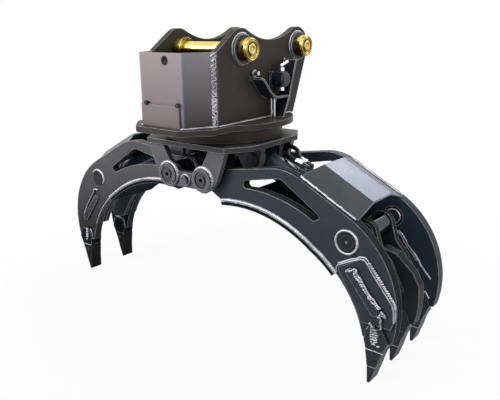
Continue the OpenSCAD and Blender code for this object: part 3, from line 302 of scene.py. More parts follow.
# Materials, one for each slot
JAW = ((0.029, 0.032, 0.044), (0.036, 0.040, 0.053))
MAT = {
    "paint_head": paint(
        "head_paint", (0.037, 0.032, 0.027), (0.044, 0.038, 0.032), rough=0.42, spec=0.13, dirt=0.15),
    # Box: its slanted faces get a painted shade that deepens towards the bottom, and the bend between
    # its faces a bluish painted highlight
    "paint_box": paint(
        "box_paint", (0.258, 0.215, 0.226), (0.245, 0.205, 0.214), rough=0.36, wear_and_highlight=0.3, spec=0.3,
        bevel=0.003, soft=0.010, dirt=0.05, corner_shade=0.25, shade_below=(1.02, 1.34, 0.60, 0.02),
        light_by_facing=("X", 0.45, 0.85, (0.215, 0.200, 0.210)), fold_highlight=("X", 0.42, 0.30, (0.33, 0.37, 0.46))),
    "paint_boss": paint(
        "boss_paint", (0.090, 0.090, 0.108), (0.110, 0.110, 0.130), corner_shade=0.7),
    # Valve guards: their wide near-white edges are painted highlight as well as paint rubbed off
    "paint_guard": paint(
        "valve_guard_paint", (0.012, 0.013, 0.017), (0.018, 0.020, 0.025), wear_and_highlight=1.3, bevel=0.008,
        edge=(0.85, 0.86, 0.90)),
    # Deck: its pale edges are painted highlight as well as paint rubbed off, and its corners get a
    # strong painted shade
    "paint_deck": paint(
        "deck_paint", (0.048, 0.047, 0.048), (0.058, 0.056, 0.056), rough=0.45, spec=0.15,
        edge=(0.80, 0.82, 0.88), depth=0.12, corner_shade=0.75, bevel=0.006, wear_and_highlight=0.75),
    "paint_lower": paint(
        "lower_frame_paint", (0.085, 0.085, 0.096), (0.105, 0.104, 0.117), rough=0.38, spec=0.25,
        depth=0.10, corner_shade=0.85),
    # Jaws: faces that don't look along Y get a darker, duller painted shade, and the colour darkens
    # towards the bottom as painted shade
    "paint_jaw": paint(
        "jaw_paint", *JAW, rough=0.38, spec=0.13, bevel=0.0065, shade_below=(-0.10, 0.72, 0.75), depth=0.12,
        corner_shade=0.85, light_by_facing=("Y", 0.6, 0.3, (0.011, 0.012, 0.016)), matt=0.85),
    # Roof: faces that don't look along Y, its top among them, get a pale bluish painted highlight
    "paint_roof": paint(
        "roof_paint", (0.032, 0.034, 0.037), (0.038, 0.040, 0.044), rough=0.30, spec=0.35, dirt=0.06,
        corner_shade=0.2, light_by_facing=("Y", 0.20, 0.05, (0.165, 0.195, 0.255))),
    # Teeth: the pale line at height 0.078 is a painted highlight where the tip meets the socket
    "paint_tooth": paint(
        "tooth_paint", (0.016, 0.019, 0.025), (0.024, 0.028, 0.036), rough=0.45, wear_and_highlight=0.35, spec=0.15,
        line=(0.078, 0.0020)),
    # Metals: the colours given for their grooves and downward faces are painted shade
    "gold_zinc": metal(
        "yellow_zinc", (0.98, 0.78, 0.24), (0.90, 0.68, 0.17), rough=0.22, grain=0.0, spread=0.03,
        groove_shade=(0.15, 0.085, 0.014), underside_shade=(0.18, 0.105, 0.02)),
    "black_bolt": metal(
        "black_oxide", (0.008, 0.008, 0.009), (0.02, 0.02, 0.022), rough=0.38, metallic=0.4),
    "valve_black": paint(
        "valve_enamel", (0.008, 0.013, 0.022), (0.014, 0.021, 0.032), rough=0.22, coat=0.3, wear_and_highlight=0.6,
        corner_shade=0.8),
    "bright_zinc": metal(
        "bright_zinc", (0.80, 0.81, 0.85), (0.60, 0.61, 0.66), rough=0.22, groove_shade=(0.03, 0.03, 0.035),
        underside_shade=(0.22, 0.22, 0.24)),
    "motor_blue": paint(
        "motor_enamel", (0.012, 0.022, 0.045), (0.016, 0.030, 0.060), rough=0.28, coat=0.3, wear_and_highlight=0.5,
        corner_shade=0.8),
    "machined_steel": metal(
        "machined_steel", (0.36, 0.36, 0.38), (0.28, 0.28, 0.30), rough=0.32,
        groove_shade=(0.03, 0.03, 0.035), underside_shade=(0.08, 0.08, 0.09)),
    "pin_steel": metal(
        "pin_steel", (0.090, 0.092, 0.105), (0.055, 0.056, 0.065), rough=0.34, metallic=0.7,
        groove_shade=(0.004, 0.004, 0.005)),
    "swivel_black": paint(
        "swivel_enamel", (0.012, 0.012, 0.014), (0.020, 0.020, 0.023), rough=0.35, wear_and_highlight=0.5),
    "cylinder_paint": paint(
        "cylinder_enamel", (0.014, 0.022, 0.038), (0.020, 0.030, 0.048), rough=0.24, coat=0.4,
        wear_and_highlight=0.6, bevel=0.006),
    "rod_chrome": metal(
        "hard_chrome", (0.55, 0.56, 0.59), (0.48, 0.49, 0.52), rough=0.14, grain=0.0,
        groove_shade=(0.02, 0.02, 0.025), underside_shade=(0.06, 0.06, 0.07),
        near=(0.856, 0.599, 0.066, (0.060, 0.063, 0.072))),
    "hose_rubber": rubber("hose_rubber", (0.004, 0.004, 0.0045)),
}

# Places that the slots alone don't tell apart; several are lit and shaded copies of the jaw and
# tooth paint, which is painted light and shade
# Left rear tine: faces that look towards -Y get a near-black painted shade
inner_left = paint(
    "jaw_paint_left_rear", *JAW, rough=0.60, spec=0.04, depth=0.15, corner_shade=0.9, bevel=0.006,
    light_by_facing=("Y", 0.2, -0.5, (0.005, 0.007, 0.010)), one_side=True, matt=0.85)
# A near-black, dull copy of the jaw paint for the bellies and the left adapters: painted shade
shaded_jaw = paint(
    "jaw_paint_shaded", (0.006, 0.008, 0.012), (0.010, 0.013, 0.018), rough=0.80, spec=0.01, corner_shade=0.9,
    depth=0.15, bevel=0.006)
# Rod lugs and centre tine: faces that don't look along Y get a painted shade, and the warm bright
# edges are partly a painted highlight
edge_jaw = paint(
    "jaw_paint_ribs", (0.026, 0.030, 0.038), (0.032, 0.036, 0.046), rough=0.45, spec=0.08, corner_shade=0.5,
    bevel=0.008, edge=(0.62, 0.56, 0.50), wear_and_highlight=1.1, light_by_facing=("Y", 0.6, 0.3, (0.016, 0.018, 0.023)))
# Right rear tine: faces that look towards -Y get a bluer, lighter painted sheen
rear_jaw = paint(
    "jaw_paint_rear", *JAW, rough=0.42, spec=0.12, corner_shade=0.5, bevel=0.0065,
    light_by_facing=("Y", 0.2, -0.5, (0.026, 0.040, 0.056)), one_side=True)
pin_paint = paint(
    "flush_pin_paint", (0.010, 0.011, 0.014), (0.016, 0.017, 0.021), rough=0.36, spec=0.15, corner_shade=0.6)
# Boss rings: the bright band round the rims is a painted highlight, and the dark near the caps a
# painted shade
ring_paint = paint(
    "boss_ring_paint", (0.030, 0.030, 0.036), (0.050, 0.050, 0.060), rough=0.34, spec=0.2,
    bevel=0.012, edge=(0.60, 0.61, 0.68), wear_and_highlight=1.3, depth=0.05, corner_shade=0.95)
# A lighter copy of the jaw paint for the left jaw's front tine and wear plates: painted light, that
# darkens towards the bottom as painted shade
lit_jaw = paint(
    "jaw_paint_left", (0.072, 0.070, 0.076), (0.084, 0.082, 0.088), rough=0.42, spec=0.09,
    bevel=0.0065, shade_below=(0.28, 0.72, 0.14), depth=0.12, corner_shade=0.85)
# A near-black copy of the tooth paint for the left jaw's teeth: painted shade
shaded_tooth = paint(
    "tooth_paint_shaded", (0.004, 0.004, 0.004), (0.007, 0.007, 0.008), rough=0.5, wear_and_highlight=0.25, spec=0.06)
BY_NODE = {
    "adapters_left": shaded_jaw,
    "belly_left": shaded_jaw,
    "belly_right": shaded_jaw,
    "ear_boss_rings": ring_paint,
    "rod_lugs_left": edge_jaw,
    "rod_lugs_right": edge_jaw,
    "rod_pin_left": pin_paint,
    "rod_pin_right": pin_paint,
    "teeth_left": shaded_tooth,
    "tine_left_front": lit_jaw,
    "tine_left_rear": inner_left,
    "tine_right_centre": edge_jaw,
    "tine_right_rear": rear_jaw,
    "tooth_pins_left": MAT["black_bolt"],
    "tooth_pins_right": MAT["black_bolt"],
    "wear_plates_left": lit_jaw,
}
slot_of = {s["node"]: s["material_slot"] for s in frame["record"]["subparts"]}
for name, obj in nodes.items():
    mat = BY_NODE.get(name, MAT[slot_of[name]])
    if obj.data.materials:
        for i in range(len(obj.data.materials)):
            obj.data.materials[i] = mat
    else:
        obj.data.materials.append(mat)


# Geometry helpers
def head(x, y, z):
    """A point in millimetres from the slewing axis and the pin height."""
    return Vector((x * MM, AXIS_Y + y * MM, PIN_H + z * MM))


def jaw(s, x, y, z):
    """A point in millimetres from the jaw pivot, for jaw s = 1 or -1."""
    return Vector((s * (PIVOT_X + x * MM), AXIS_Y + y * MM, PIVOT_H + z * MM))


def arc_pts(cx, cz, r, a0, a1, n):
    """n steps along an arc, angles in degrees."""
    turns = [math.radians(a0 + (a1 - a0) * i / n) for i in range(n + 1)]
    return [(cx + r * math.cos(a), cz + r * math.sin(a)) for a in turns]


def circle_pts(cx, cz, r, n):
    """n points once round a circle."""
    return arc_pts(cx, cz, r, 0.0, 360.0, n)[:n]


def resample(pts, step, closed=False):
    """Points at even distances along a path."""
    pts = [Vector(p) for p in pts]
    if closed:
        pts = pts + [pts[0]]
    out, carry = [pts[0].copy()], 0.0
    for a, b in zip(pts, pts[1:]):
        seg = b - a
        ln = seg.length
        if ln < 1e-9:
            continue
        t = step - carry
        while t <= ln:
            out.append(a + seg * (t / ln))
            t += step
        carry = (carry + ln) % step
    if not closed and (out[-1] - pts[-1]).length > step * 0.2:
        out.append(pts[-1].copy())
    return out


def skin_over(rings, closed=False):
    """A mesh through rings of points, closed on itself or with flat ends."""
    bm = bmesh.new()
    loops = [[bm.verts.new(p) for p in ring] for ring in rings]
    for a, b in zip(loops, loops[1:] + (loops[:1] if closed else [])):
        for i in range(len(a)):
            j = (i + 1) % len(a)
            bm.faces.new((a[i], a[j], b[j], b[i]))
    if not closed:
        bm.faces.new(list(reversed(loops[0])))
        bm.faces.new(loops[-1])
    bmesh.ops.recalc_face_normals(bm, faces=bm.faces)
    me = bpy.data.meshes.new("part")
    bm.to_mesh(me)
    bm.free()
    return me


def tube(pts, radii, sides=10, closed=False, squash=None):
    """A tube swept along pts with its own radius at each point.

    squash = (normal, share) flattens it along normal."""
    n = len(pts)
    rings = []
    ref = None
    for i in range(n):
        if closed:
            d = pts[(i + 1) % n] - pts[i - 1]
        else:
            d = pts[min(i + 1, n - 1)] - pts[max(i - 1, 0)]
        d.normalize()
        if ref is None:
            ref = d.orthogonal().normalized()
        ref = ref - d * ref.dot(d)
        ref = ref.normalized() if ref.length > 1e-6 else d.orthogonal().normalized()
        side = d.cross(ref)
        ring = []
        for k in range(sides):
            a = 2 * math.pi * k / sides
            off = (ref * math.cos(a) + side * math.sin(a)) * radii[i]
            if squash:
                normal, share = squash
                off -= normal * off.dot(normal) * (1 - share)
            ring.append(pts[i] + off)
        rings.append(ring)
    return skin_over(rings, closed)


def join(name, meshes, mat, body):
    """One smooth-shaded piece from several meshes, riding on a body."""
    bm = bmesh.new()
    for me in meshes:
        bm.from_mesh(me)
        bpy.data.meshes.remove(me)
    me = bpy.data.meshes.new(name)
    bm.to_mesh(me)
    bm.free()
    for f in me.polygons:
        f.use_smooth = True
    me.materials.append(mat)
    o = bpy.data.objects.new(name, me)
    bpy.context.scene.collection.objects.link(o)
    if body:
        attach(o, body)
    return o


# Weld beads
WELD_STEP = 0.0021
FILLET = 0.0045     # radius of the usual bead in a corner
WELDS = {}


def weld(body, pts, r, closed=False, seed=0, rough=1.0):
    """A stick-weld bead of radius r: overlapping ripples of uneven width along a path."""
    path = resample(pts, WELD_STEP, closed)
    phase = random.Random(seed + len(path)).random() * 10
    ripple_pitch = r * 1.15
    radii, out = [], []
    for i, p in enumerate(path):
        s = i * WELD_STEP
        ripple = 1.0 - 0.20 * ((s / ripple_pitch) % 1.0) * rough
        slow = 1.0 + 0.22 * rough * noise.noise(Vector((s * 24 + phase, seed * 3.1, 0)))
        radii.append(r * ripple * slow)
        stray = Vector([noise.noise(Vector((s * 60, phase, row))) for row in (1, 5, 9)])
        out.append(p + stray * r * 0.22 * rough)
    WELDS.setdefault(body, []).append(tube(out, radii, 8, closed))


def weave(body, a, b, across, width, r, pitch, seed):
    """A wide weld laid in uneven zigzags from a to b."""
    run = b - a
    n = int(run.length / pitch)
    rnd = random.Random(seed)
    pts = []
    for i in range(n + 1):
        side = width * (0.12 + 0.42 * rnd.random()) * (1 if i % 2 else -1)
        pts.append(a + run * ((i + 1.1 * (rnd.random() - 0.5)) / n) + across * side)
    weld(body, pts, r, seed=seed, rough=2.2)


# Welds of the hitch head, just off the faces of its plates
EAR_OUT, EAR_IN, EAR_END = 213, 181, 282
EAR_H = 333
HITCH_PINS = (-110, 340)
BOSS_RING_R = 71.5
BASE_TOP = -332
RING_R, RING_TOP = 296, -362
CORNER = (206, -285)        # where the slanted face of the box meets the ear
FACE_END = (134, -427)      # where it meets the box's front
SLANT = (0.4596, 0.888)
for sx in (1, -1):
    d = Vector((-SLANT[0] * sx, -SLANT[1], 0)).normalized()
    n = Vector((SLANT[1] * sx, -SLANT[0], 0))
    seam = head(sx * CORNER[0], CORNER[1], 0)
    mid = seam + d * 0.013 + n * 0.001
    low, top = (mid - Vector((0, 0, z)) for z in (0.330, 0.008))
    for r, pitch in ((0.0056, 0.0115), (0.0040, 0.0080)):
        weave("head", low, top, d, 0.023, r, pitch, seed=3 + sx)
    for k in (0.002, 0.022):
        q = seam + d * k + n * 0.0005
        upward = [q - Vector((0, 0, z * MM)) for z in range(331, 5, -6)]
        weld("head", upward, 0.0040, seed=7 + sx, rough=2.2)
    for x, r, seed in ((EAR_OUT, 0.0050, 5), (EAR_IN, FILLET, 6)):
        foot = [head(sx * x, y, BASE_TOP) for y in range(-EAR_END, EAR_END, 8)]
        weld("head", foot, r, seed=seed + sx)
    for y in HITCH_PINS:
        ring = [head(sx * EAR_OUT, *p) for p in circle_pts(y, 0, BOSS_RING_R, 48)]
        weld("head", ring, 0.0046, True, seed=8 + sx)
BOX_FOOT = (
    ((-CORNER[0], CORNER[1] - 2), (-FACE_END[0], FACE_END[1]), (-128, -429.5), (-122, -429.5)),
    ((117, -429.5), (128, -429.5), FACE_END, (CORNER[0], CORNER[1] - 2)),
)
for foot in BOX_FOOT:
    weld("head", [head(x, y, BASE_TOP) for x, y in foot], 0.005)
weld("head", [head(x, y, RING_TOP) for x, y in circle_pts(0, 0, RING_R, 120)], 0.004, True, seed=11)
# Valve guards on the near ear, along both feet, as shares of the ear's height
SHELF = ((-1.19, -0.4), (-1.12, -0.435), (-0.931, -0.649), (-0.832, -0.694), (-0.541, -0.7))
REAR = ((-0.336, -0.189), (-0.511, -0.715), (-0.547, -0.787), (-0.66, -0.99))
for path in (SHELF, REAR):
    for dz in (-7, 7):
        foot = [head(EAR_OUT, HITCH_PINS[1] + EAR_H * y, EAR_H * z + dz) for y, z in path]
        weld("head", foot, 0.0036, seed=13 + dz)

# Welds of the lower frame
DECK_UNDER = -451
PLATE_FACES = (291, 259)
LUG_FACES = (61, 91)
PIVOT = (112, -591)
TIE_BAR_Z = -607
for sy in (1, -1):
    for sx in (1, -1):
        for y in PLATE_FACES:
            foot = [head(sx * x, sy * y, DECK_UNDER) for x in range(151, 244, 6)]
            weld("rotor", foot, FILLET, seed=sx * 3 + sy)
        for y in LUG_FACES:
            foot = [head(sx * x, sy * y, DECK_UNDER) for x in range(122, 305, 8)]
            weld("rotor", foot, 0.004, seed=sx * 5 + y)
        boss = [head(x, sy * 291.5, z) for x, z in circle_pts(sx * PIVOT[0], PIVOT[1], 57.5, 44)]
        weld("rotor", boss, 0.0100, True, seed=15 + sx + sy, rough=0.6)
    bar_end = [head(x, sy * 292, z) for x, z in circle_pts(0, TIE_BAR_Z, 25, 30)]
    weld("rotor", bar_end, 0.0070, True, seed=18 + sy, rough=0.6)


# Outline of the jaws: the gripping edge is two arcs, the back is one, with a straight slope before it
def polar(c, r, a):
    return (c[0] + r * math.cos(math.radians(a)), c[1] + r * math.sin(math.radians(a)))


GRIP_R, TOE_R = 686.0, 536.0
GRIP_A0, GRIP_A1 = 99.2, 54.0
GRIP = polar((70.0, -100.0), -GRIP_R, GRIP_A0)
TOE = polar(polar(GRIP, GRIP_R, GRIP_A1), -TOE_R, 59.6)
SLOPE = math.radians(27.8)
CREST = (439.0, 106.0)
ROD_PIN = (744, -165)
HALF = {1: 242.5, -1: 153.5}    # half widths over the outer tines
BODY = {1: "jaw_right", -1: "jaw_left"}
BELLY_END = {1: 44.0, -1: 51.0}


def grip_edge(off, start, end):
    """Points along the gripping edge, moved outwards by off, to angle end of the toe arc."""
    if start > GRIP_A1:
        upper = arc_pts(*GRIP, GRIP_R + off, start, GRIP_A1, 44)
        return upper + arc_pts(*TOE, TOE_R + off, 59.0, end, 40)
    return arc_pts(*TOE, TOE_R + off, start, end, 40)


def on_side(s, y, pts):
    return [jaw(s, x, y, z) for x, z in pts]


def moved(pts, dx, dz):
    return [(x + dx, z + dz) for x, z in pts]


# Welds of the jaws, drawn in side view
DOUBLER_BEAD = (
    (704, -306), (702, -288), (712, -264), (760, -238), (800, -219), (816, -212), (833, -211),
    (843, -217), (877, -264), (929, -328), (968, -376), (974, -402), (977, -452))
ROPE = (
    (759, -281), (777, -277), (789, -268), (800, -270), (797, -286), (811, -299), (830, -321),
    (849, -348), (865, -365), (883, -384), (903, -402), (912, -409))
HOOK = (
    (909, -449), (914, -440), (925, -438), (941, -442), (934, -430), (921, -421), (918, -436),
    (920, -470), (924, -500))
PATCH = (
    ((868, -486), (873, -494), (892, -498)),
    ((884, -500), (880, -530), (884, -556)),
    ((891, -498), (889, -530), (892, -560)),
    ((898, -508), (897, -535), (900, -566)),
    ((906, -530), (904, -556), (898, -578)),
    ((884, -566), (888, -577)))
CHEEK = ((849, -567), (854, -527), (865, -504), (925, -500), (943, -528))
CHEEK_OUT = ((849, -567), (854, -527), (863, -508))
SEAM = ((858, -607), (880, -608), (905, -608), (938, -610))
DOT = ((913, -577), (914, -581), (913, -585))
STRIP_CAP = ((752, -238), (768, -234), (786, -240), (792, -252))
STRIP_SIDE = ((792, -254), (862, -345), (903, -410))
CHAIN = ((778, -227), (804, -257), (828, -294), (862, -328), (881, -356), (904, -389), (944, -432))
INNER = 49      # from the outer to the inner face of a tine


def weld_plates(s, sy):
    """Belly, pin heads, pivot tubes, guard feet, rod lugs and adapters, on one side of a jaw."""
    b, hw, last = BODY[s], HALF[s], BELLY_END[s]
    # Belly plate to the outer tines, outside and inside: height over the middle, offset of the path
    # from the edge, first angle, bead radius, seed and roughness
    for y, off, start, r, seed, rough in (
            (hw + 2.5, 2.5, 98.6, 0.0092, 21, 0.7),
            (hw + 6.0, -4.0, 98.9, 0.0034, 22, 0.6),
            (hw - INNER, 3.0, 98.0, 0.0050, 25, 1.0)):
        edge = grip_edge(off, start, last)
        weld(b, on_side(s, sy * y, edge), r, seed=seed + s + sy, rough=rough)
    # Flush pin head, whole on the right jaw and open on the left, and its centre
    a0, a1 = {1: (0, 360), -1: (35, 215)}[s]
    for radius, r in ((50.5, 0.0066), (4.0, 0.0030)):
        ring = arc_pts(*ROD_PIN, radius, a0, a1, 48)[:48]
        weld(b, on_side(s, sy * (hw + 0.5), ring), r, s > 0, seed=31 + s + sy, rough=0.5)
    for y in (hw - INNER, hw + 1):
        ring = circle_pts(0, 0, 53, 40)
        weld(b, on_side(s, sy * y, ring), FILLET, True, seed=33 + s + sy)
    ring = circle_pts(*ROD_PIN, 34, 30)
    weld(b, on_side(s, sy * (hw - INNER - 1), ring), FILLET, True, seed=36 + s + sy)
    foot = [(CREST[0] + math.cos(SLOPE) * t, CREST[1] - math.sin(SLOPE) * t + 1.5)
            for t in range(72, 380, 8)]
    weld(b, on_side(s, sy * (hw - 20.5), foot), 0.0056, seed=41 + s + sy, rough=1.3)
    for y in LUG_FACES:
        lug = grip_edge(3.0, 57.0, last)
        weld(b, on_side(s, sy * y, lug), FILLET, seed=51 + s + sy + y)
    # Adapter cheeks on the tine, and build-up over the outer one
    weld(b, on_side(s, sy * (hw - INNER - 0.5), CHEEK), 0.0055, seed=55 + s + sy, rough=1.6)
    weld(b, on_side(s, sy * (hw + 1.5), CHEEK_OUT), 0.0050, seed=56 + s, rough=1.8)
    for k, run in enumerate(PATCH if s > 0 else PATCH[1:6:4]):
        weld(b, on_side(s, sy * (hw + 13.6), run), 0.0094, seed=58 + s + sy + 7 * k, rough=2.0)
    weld(b, on_side(s, sy * (hw + 14.5), SEAM), 0.0026, seed=59 + sy)


def weld_left_wear(sy):
    """A bead along the gripping edge below the belly plate, and round the hard-wearing strip."""
    b, hw = BODY[-1], HALF[-1]
    edge = grip_edge(0.5, BELLY_END[-1], 25.0)
    weld(b, on_side(-1, sy * (hw + 0.5), edge), 0.0046, seed=60 + sy, rough=0.8)
    weld(b, on_side(-1, sy * (hw + 7), STRIP_CAP), 0.0072, seed=62 + sy, rough=1.2)
    weld(b, on_side(-1, sy * (hw + 6), STRIP_SIDE), 0.0050, seed=63 + sy, rough=0.9)


def weld_right_wear(sy):
    """The rough strip, and two beads side by side round the hard-wearing plate's upper and rear
    edges.
    """
    b, hw = BODY[1], HALF[1]
    for k, off in enumerate((-5, 5)):
        rope = moved(ROPE, off * 0.7, off * 0.6)
        weld(b, on_side(1, sy * (hw + 18), rope), 0.0068, seed=61 + sy + 9 * k, rough=2.9)
    weld(b, on_side(1, sy * (hw + 17), HOOK), 0.0056, seed=64 + sy, rough=2.4)
    for k, off in enumerate((0, 9)):
        bead = on_side(1, sy * (hw + 3 + 0.5 * off), moved(DOUBLER_BEAD[2:], -off * 0.5, -off))
        weld(b, bead, 0.0058 - 0.0018 * k, seed=66 + sy + k, rough=1.8 - k)
    weld(b, on_side(1, sy * (hw + 3), DOUBLER_BEAD[:3]), 0.0042, seed=69 + sy)
    stitch = [(852 + 3.3 * k + (5 if k % 2 else -5), -230 - 4.1 * k + (4 if k % 2 else -4))
              for k in range(36)]
    weld(b, on_side(1, sy * (hw + 5), stitch), 0.0048, seed=70 + sy, rough=2.0)
    weld(b, on_side(1, sy * (hw + 13), DOT), 0.0085, seed=76 + sy, rough=0.3)


for s in (1, -1):
    for sy in (1, -1):
        weld_plates(s, sy)
        if s > 0:
            weld_right_wear(sy)
        else:
            weld_left_wear(sy)
for sy in (1, -1):
    centre = grip_edge(3.0, 44.0, 18.0)
    weld("jaw_right", on_side(1, sy * 25, centre), FILLET, seed=71 + sy)
    # Stitches of beads on the inner faces, below the pin tubes
    inside = sy * (HALF[1] - INNER)
    weld("jaw_right", on_side(1, inside, CHAIN), 0.0060, seed=73 + sy, rough=2.4)
    weld("jaw_right", on_side(1, inside, moved(CHAIN[:5], -9, -4)), FILLET, seed=75 + sy, rough=2.4)

# Turned rings in the right jaw's flush pin heads
turned_rings = []
for sy in (1, -1):
    ring = on_side(1, sy * (HALF[1] + 0.4), circle_pts(*ROD_PIN, 30, 48))
    turned_rings.append(tube(ring, [0.0028] * 48, 8, closed=True))
join("pin_head_rings", turned_rings, MAT["paint_boss"], "jaw_right")
# The beads' downward faces get a painted shade
weld_steel = metal(
    "weld_steel", (0.84, 0.84, 0.90), (0.30, 0.30, 0.34), rough=0.34, bevel=0.0008, metallic=0.25,
    underside_shade=(0.05, 0.05, 0.058))
for body, parts in WELDS.items():
    join("welds_" + body, parts, weld_steel, body)

# Turned boss with its grooves, and retaining ring, on each hitch pin's face
lo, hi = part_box("pin_collars")
FACE_X = hi[0]
CAP_R = (hi[2] - lo[2]) / 2
# Share of the cap's radius and distance from its face
KNOB = (
    (0.50, -0.0005), (0.50, 0.0030), (0.46, 0.0042), (0.24, 0.0042), (0.21, 0.0030), (0.10, 0.0030))
FLAT_X = Vector((1, 0, 0))


def on_face(sx, out, y, share, degrees):
    """Points round a hitch pin's face, at a share of the cap's radius."""
    r = CAP_R * share
    turns = [math.radians(a) for a in degrees]
    return [Vector((sx * (FACE_X + out), AXIS_Y + y * MM + r * math.cos(a), PIN_H + r * math.sin(a)))
            for a in turns]


gold, clips = [], []
for sx in (1, -1):
    for y in HITCH_PINS:
        gold.append(skin_over([on_face(sx, out, y, share, range(0, 360, 9)) for share, out in KNOB]))
        clip = on_face(sx, 0.0012, y, 0.575, range(-35, 255, 5))
        clips.append(tube(clip, [CAP_R * 0.06] * len(clip), 8, squash=(FLAT_X, 0.5)))
        for share in (0.74, 0.89):
            rib = on_face(sx, 0.0006, y, share, range(0, 360, 6))
            gold.append(tube(rib, [CAP_R * 0.045] * len(rib), 8, closed=True, squash=(FLAT_X, 0.8)))
join("pin_bosses", gold, MAT["gold_zinc"], "head")
join("pin_retaining_rings", clips, MAT["black_bolt"], "head")

# Rubber plug in the box face's hose hole, as radius and depth in millimetres
HOLE = (34, -428, -38)
PLUG = ((8, 4.0), (12.5, 1.5), (14.8, 1.5), (15.0, -1.2), (19.5, -1.2), (20.5, -0.4), (20.5, 0.0))
plug = skin_over([[head(x, HOLE[1] + deep, z) for x, z in circle_pts(HOLE[0], HOLE[2], r, 40)]
                  for r, deep in PLUG])
join("hole_plug", [plug], MAT["hose_rubber"], "head")

# Hoses, from the swivel's port block to the barrel's, in millimetres from the slewing axis and ground
HOSES = (
    ((26, 64.2, 867), (26, 84, 867), (34, 108, 871), (56, 126, 876), (92, 134, 880), (150, 136, 882),
     (220, 136, 882), (290, 134, 880), (340, 126, 876), (380, 104, 868), (408, 72, 860),
     (432, 42, 853), (456, 23, 849), (476.6, 18, 843.8), (489.7, 18, 838.8)),
    ((26, 64.2, 827), (26, 82, 827), (33, 102, 832), (54, 116, 842), (92, 121, 852), (150, 122, 858),
     (220, 122, 860), (280, 120, 861), (318, 108, 863), (344, 80, 866), (364, 46, 866),
     (388, 14, 862), (420, -8, 856), (452, -17, 850), (476.6, -18, 843.8), (489.7, -18, 838.8)),
)
HOSE_STEP = 0.004
HOSE_R, RIBBING = 0.0108, 0.00018
SLEEVE = 0.038      # length under the ferrules at each end
FERRULE_PTS = 11
FERRULE_R, GROOVE_R = 0.0128, 0.0120
GROOVE_STEP = 0.0018


def smooth_path(pts, per=10):
    """Catmull-Rom curve through the points."""
    p = [Vector(q) for q in pts]
    p = [p[0] * 2 - p[1]] + p + [p[-1] * 2 - p[-2]]
    out = []
    for i in range(1, len(p) - 2):
        a, b, c, d = p[i - 1:i + 3]
        for k in range(per):
            t = k / per
            out.append(0.5 * ((2 * b) + (c - a) * t + (2 * a - 5 * b + 4 * c - d) * t * t
                              + (3 * b - a - 3 * c + d) * t * t * t))
    out.append(p[-2].copy())
    return out


for sx, side in ((1, "right"), (-1, "left")):
    skins, ends = [], []
    for route in HOSES:
        line = [Vector((sx * x * MM, AXIS_Y + y * MM, z * MM)) for x, y, z in smooth_path(route)]
        pts = resample(line, HOSE_STEP)
        core = [i for i in range(len(pts)) if min(i, len(pts) - 1 - i) * HOSE_STEP > SLEEVE]
        radii = [HOSE_R + RIBBING * math.sin(i * HOSE_STEP * 900) for i in core]
        skins.append(tube([pts[i] for i in core], radii, 16))
        for tip in (pts[:FERRULE_PTS], pts[-FERRULE_PTS:]):
            tip = resample(tip, GROOVE_STEP)
            radii = [FERRULE_R if k % 4 else GROOVE_R for k in range(len(tip))]
            ends.append(tube(tip, radii, 18))
    skin = join("hose_skin_" + side, skins, MAT["hose_rubber"], None)
    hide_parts("hoses_" + side)
    ferrules = join("hose_ferrules_" + side, ends, MAT["bright_zinc"], None)
    for piece in (skin, ferrules):
        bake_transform(piece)


# Stage
def seen_share(tree, *more):
    """1 for camera, glossy and transmission rays, 0 for the light that falls on the object."""
    path = tree.nodes.new("ShaderNodeLightPath")
    total = path.outputs["Is Camera Ray"]
    for kind in ("Is Glossy Ray", "Is Transmission Ray", *more):
        n = tree.nodes.new("ShaderNodeMath")
        n.operation = "MAXIMUM"
        tree.links.new(total, n.inputs[0])
        tree.links.new(path.outputs[kind], n.inputs[1])
        total = n.outputs[0]
    return total


mesh = bpy.data.meshes.new("floor")
bm = bmesh.new()
bmesh.ops.create_grid(bm, x_segments=2, y_segments=2, size=30.0)
bm.to_mesh(mesh)
bm.free()
floor = bpy.data.objects.new("floor", mesh)
floor.location = (0, 0, -0.001)
bpy.context.scene.collection.objects.link(floor)
fm = Tree("floor_white")
fm.bsdf.inputs["Base Color"].default_value = (0.62, 0.62, 0.62, 1)
fm.bsdf.inputs["Roughness"].default_value = 0.9
fm.bsdf.inputs["Specular IOR Level"].default_value = 0.0
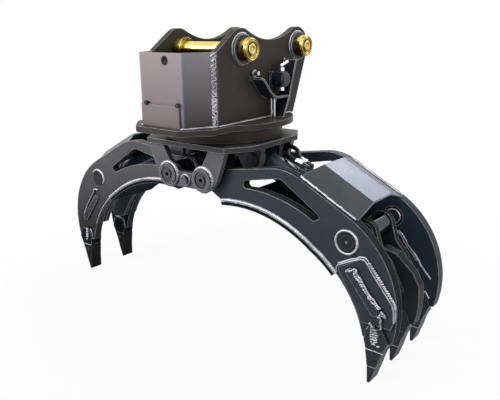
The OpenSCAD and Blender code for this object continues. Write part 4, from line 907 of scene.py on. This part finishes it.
# Near the object a little of the floor shows, with its shadow. The rest of what is seen is the white
# world through it, so jaws that close below it still show
clear = fm.add("ShaderNodeBsdfTransparent")
clear.inputs["Color"].default_value = (1, 1, 1, 1)
away = fm.add("ShaderNodeVectorMath", operation="LENGTH")
fm.link(fm.coord, away.inputs[0])
white = fm.ramp(away.outputs["Value"], 0.9, 2.6, 0.93, 1.0)
mx = fm.add("ShaderNodeMixShader")
fm.link(fm.math("MULTIPLY", seen_share(fm.t, "Is Shadow Ray"), white), mx.inputs[0])
fm.link(fm.bsdf.outputs[0], mx.inputs[1])
fm.link(clear.outputs[0], mx.inputs[2])
fm.link(mx.outputs[0], fm.out.inputs[0])
mesh.materials.append(fm.mat)

world = bpy.data.worlds.new("studio")
bpy.context.scene.world = world
world.use_nodes = True
wt = world.node_tree
wt.nodes.clear()
w_out = wt.nodes.new("ShaderNodeOutputWorld")
w_mix = wt.nodes.new("ShaderNodeMixShader")
w_seen = wt.nodes.new("ShaderNodeBackground")
w_lit = wt.nodes.new("ShaderNodeBackground")
w_seen.inputs["Color"].default_value = (1, 1, 1, 1)
w_seen.inputs["Strength"].default_value = 1.0
w_lit.inputs["Color"].default_value = (0.90, 0.94, 1.0, 1)
w_lit.inputs["Strength"].default_value = 0.32
wt.links.new(seen_share(wt), w_mix.inputs[0])
wt.links.new(w_lit.outputs[0], w_mix.inputs[1])
wt.links.new(w_seen.outputs[0], w_mix.inputs[2])
wt.links.new(w_mix.outputs[0], w_out.inputs[0])

# Name, size, place, aim, watts and colour of each softbox
LAMPS = (
    ("key", (2.0, 2.0), (-2.2, -3.6, 2.5), (0, 0, 0.95), 170, (1.0, 0.97, 0.95)),
    ("back", (2.6, 2.0), (0.1, 3.0, 3.5), (0.45, 0, 0.8), 95, (0.88, 0.93, 1.0)),
    ("side", (1.6, 1.6), (3.4, -0.5, 1.7), (0.2, 0, 0.9), 26, (1.0, 0.97, 0.94)),
    ("strip", (0.5, 1.4), (0.9, -0.9, 3.3), (0.2, 0, 0.8), 22, (0.95, 0.97, 1.0)),
)
for name, size, place, aim, watts, color in LAMPS:
    light = bpy.data.lights.new(name, "AREA")
    light.shape = "RECTANGLE"
    light.size, light.size_y = size
    light.energy = watts
    light.color = color
    lamp = bpy.data.objects.new(name, light)
    bpy.context.scene.collection.objects.link(lamp)
    lamp.location = place
    lamp.rotation_euler = (Vector(aim) - Vector(place)).to_track_quat("-Z", "Y").to_euler()
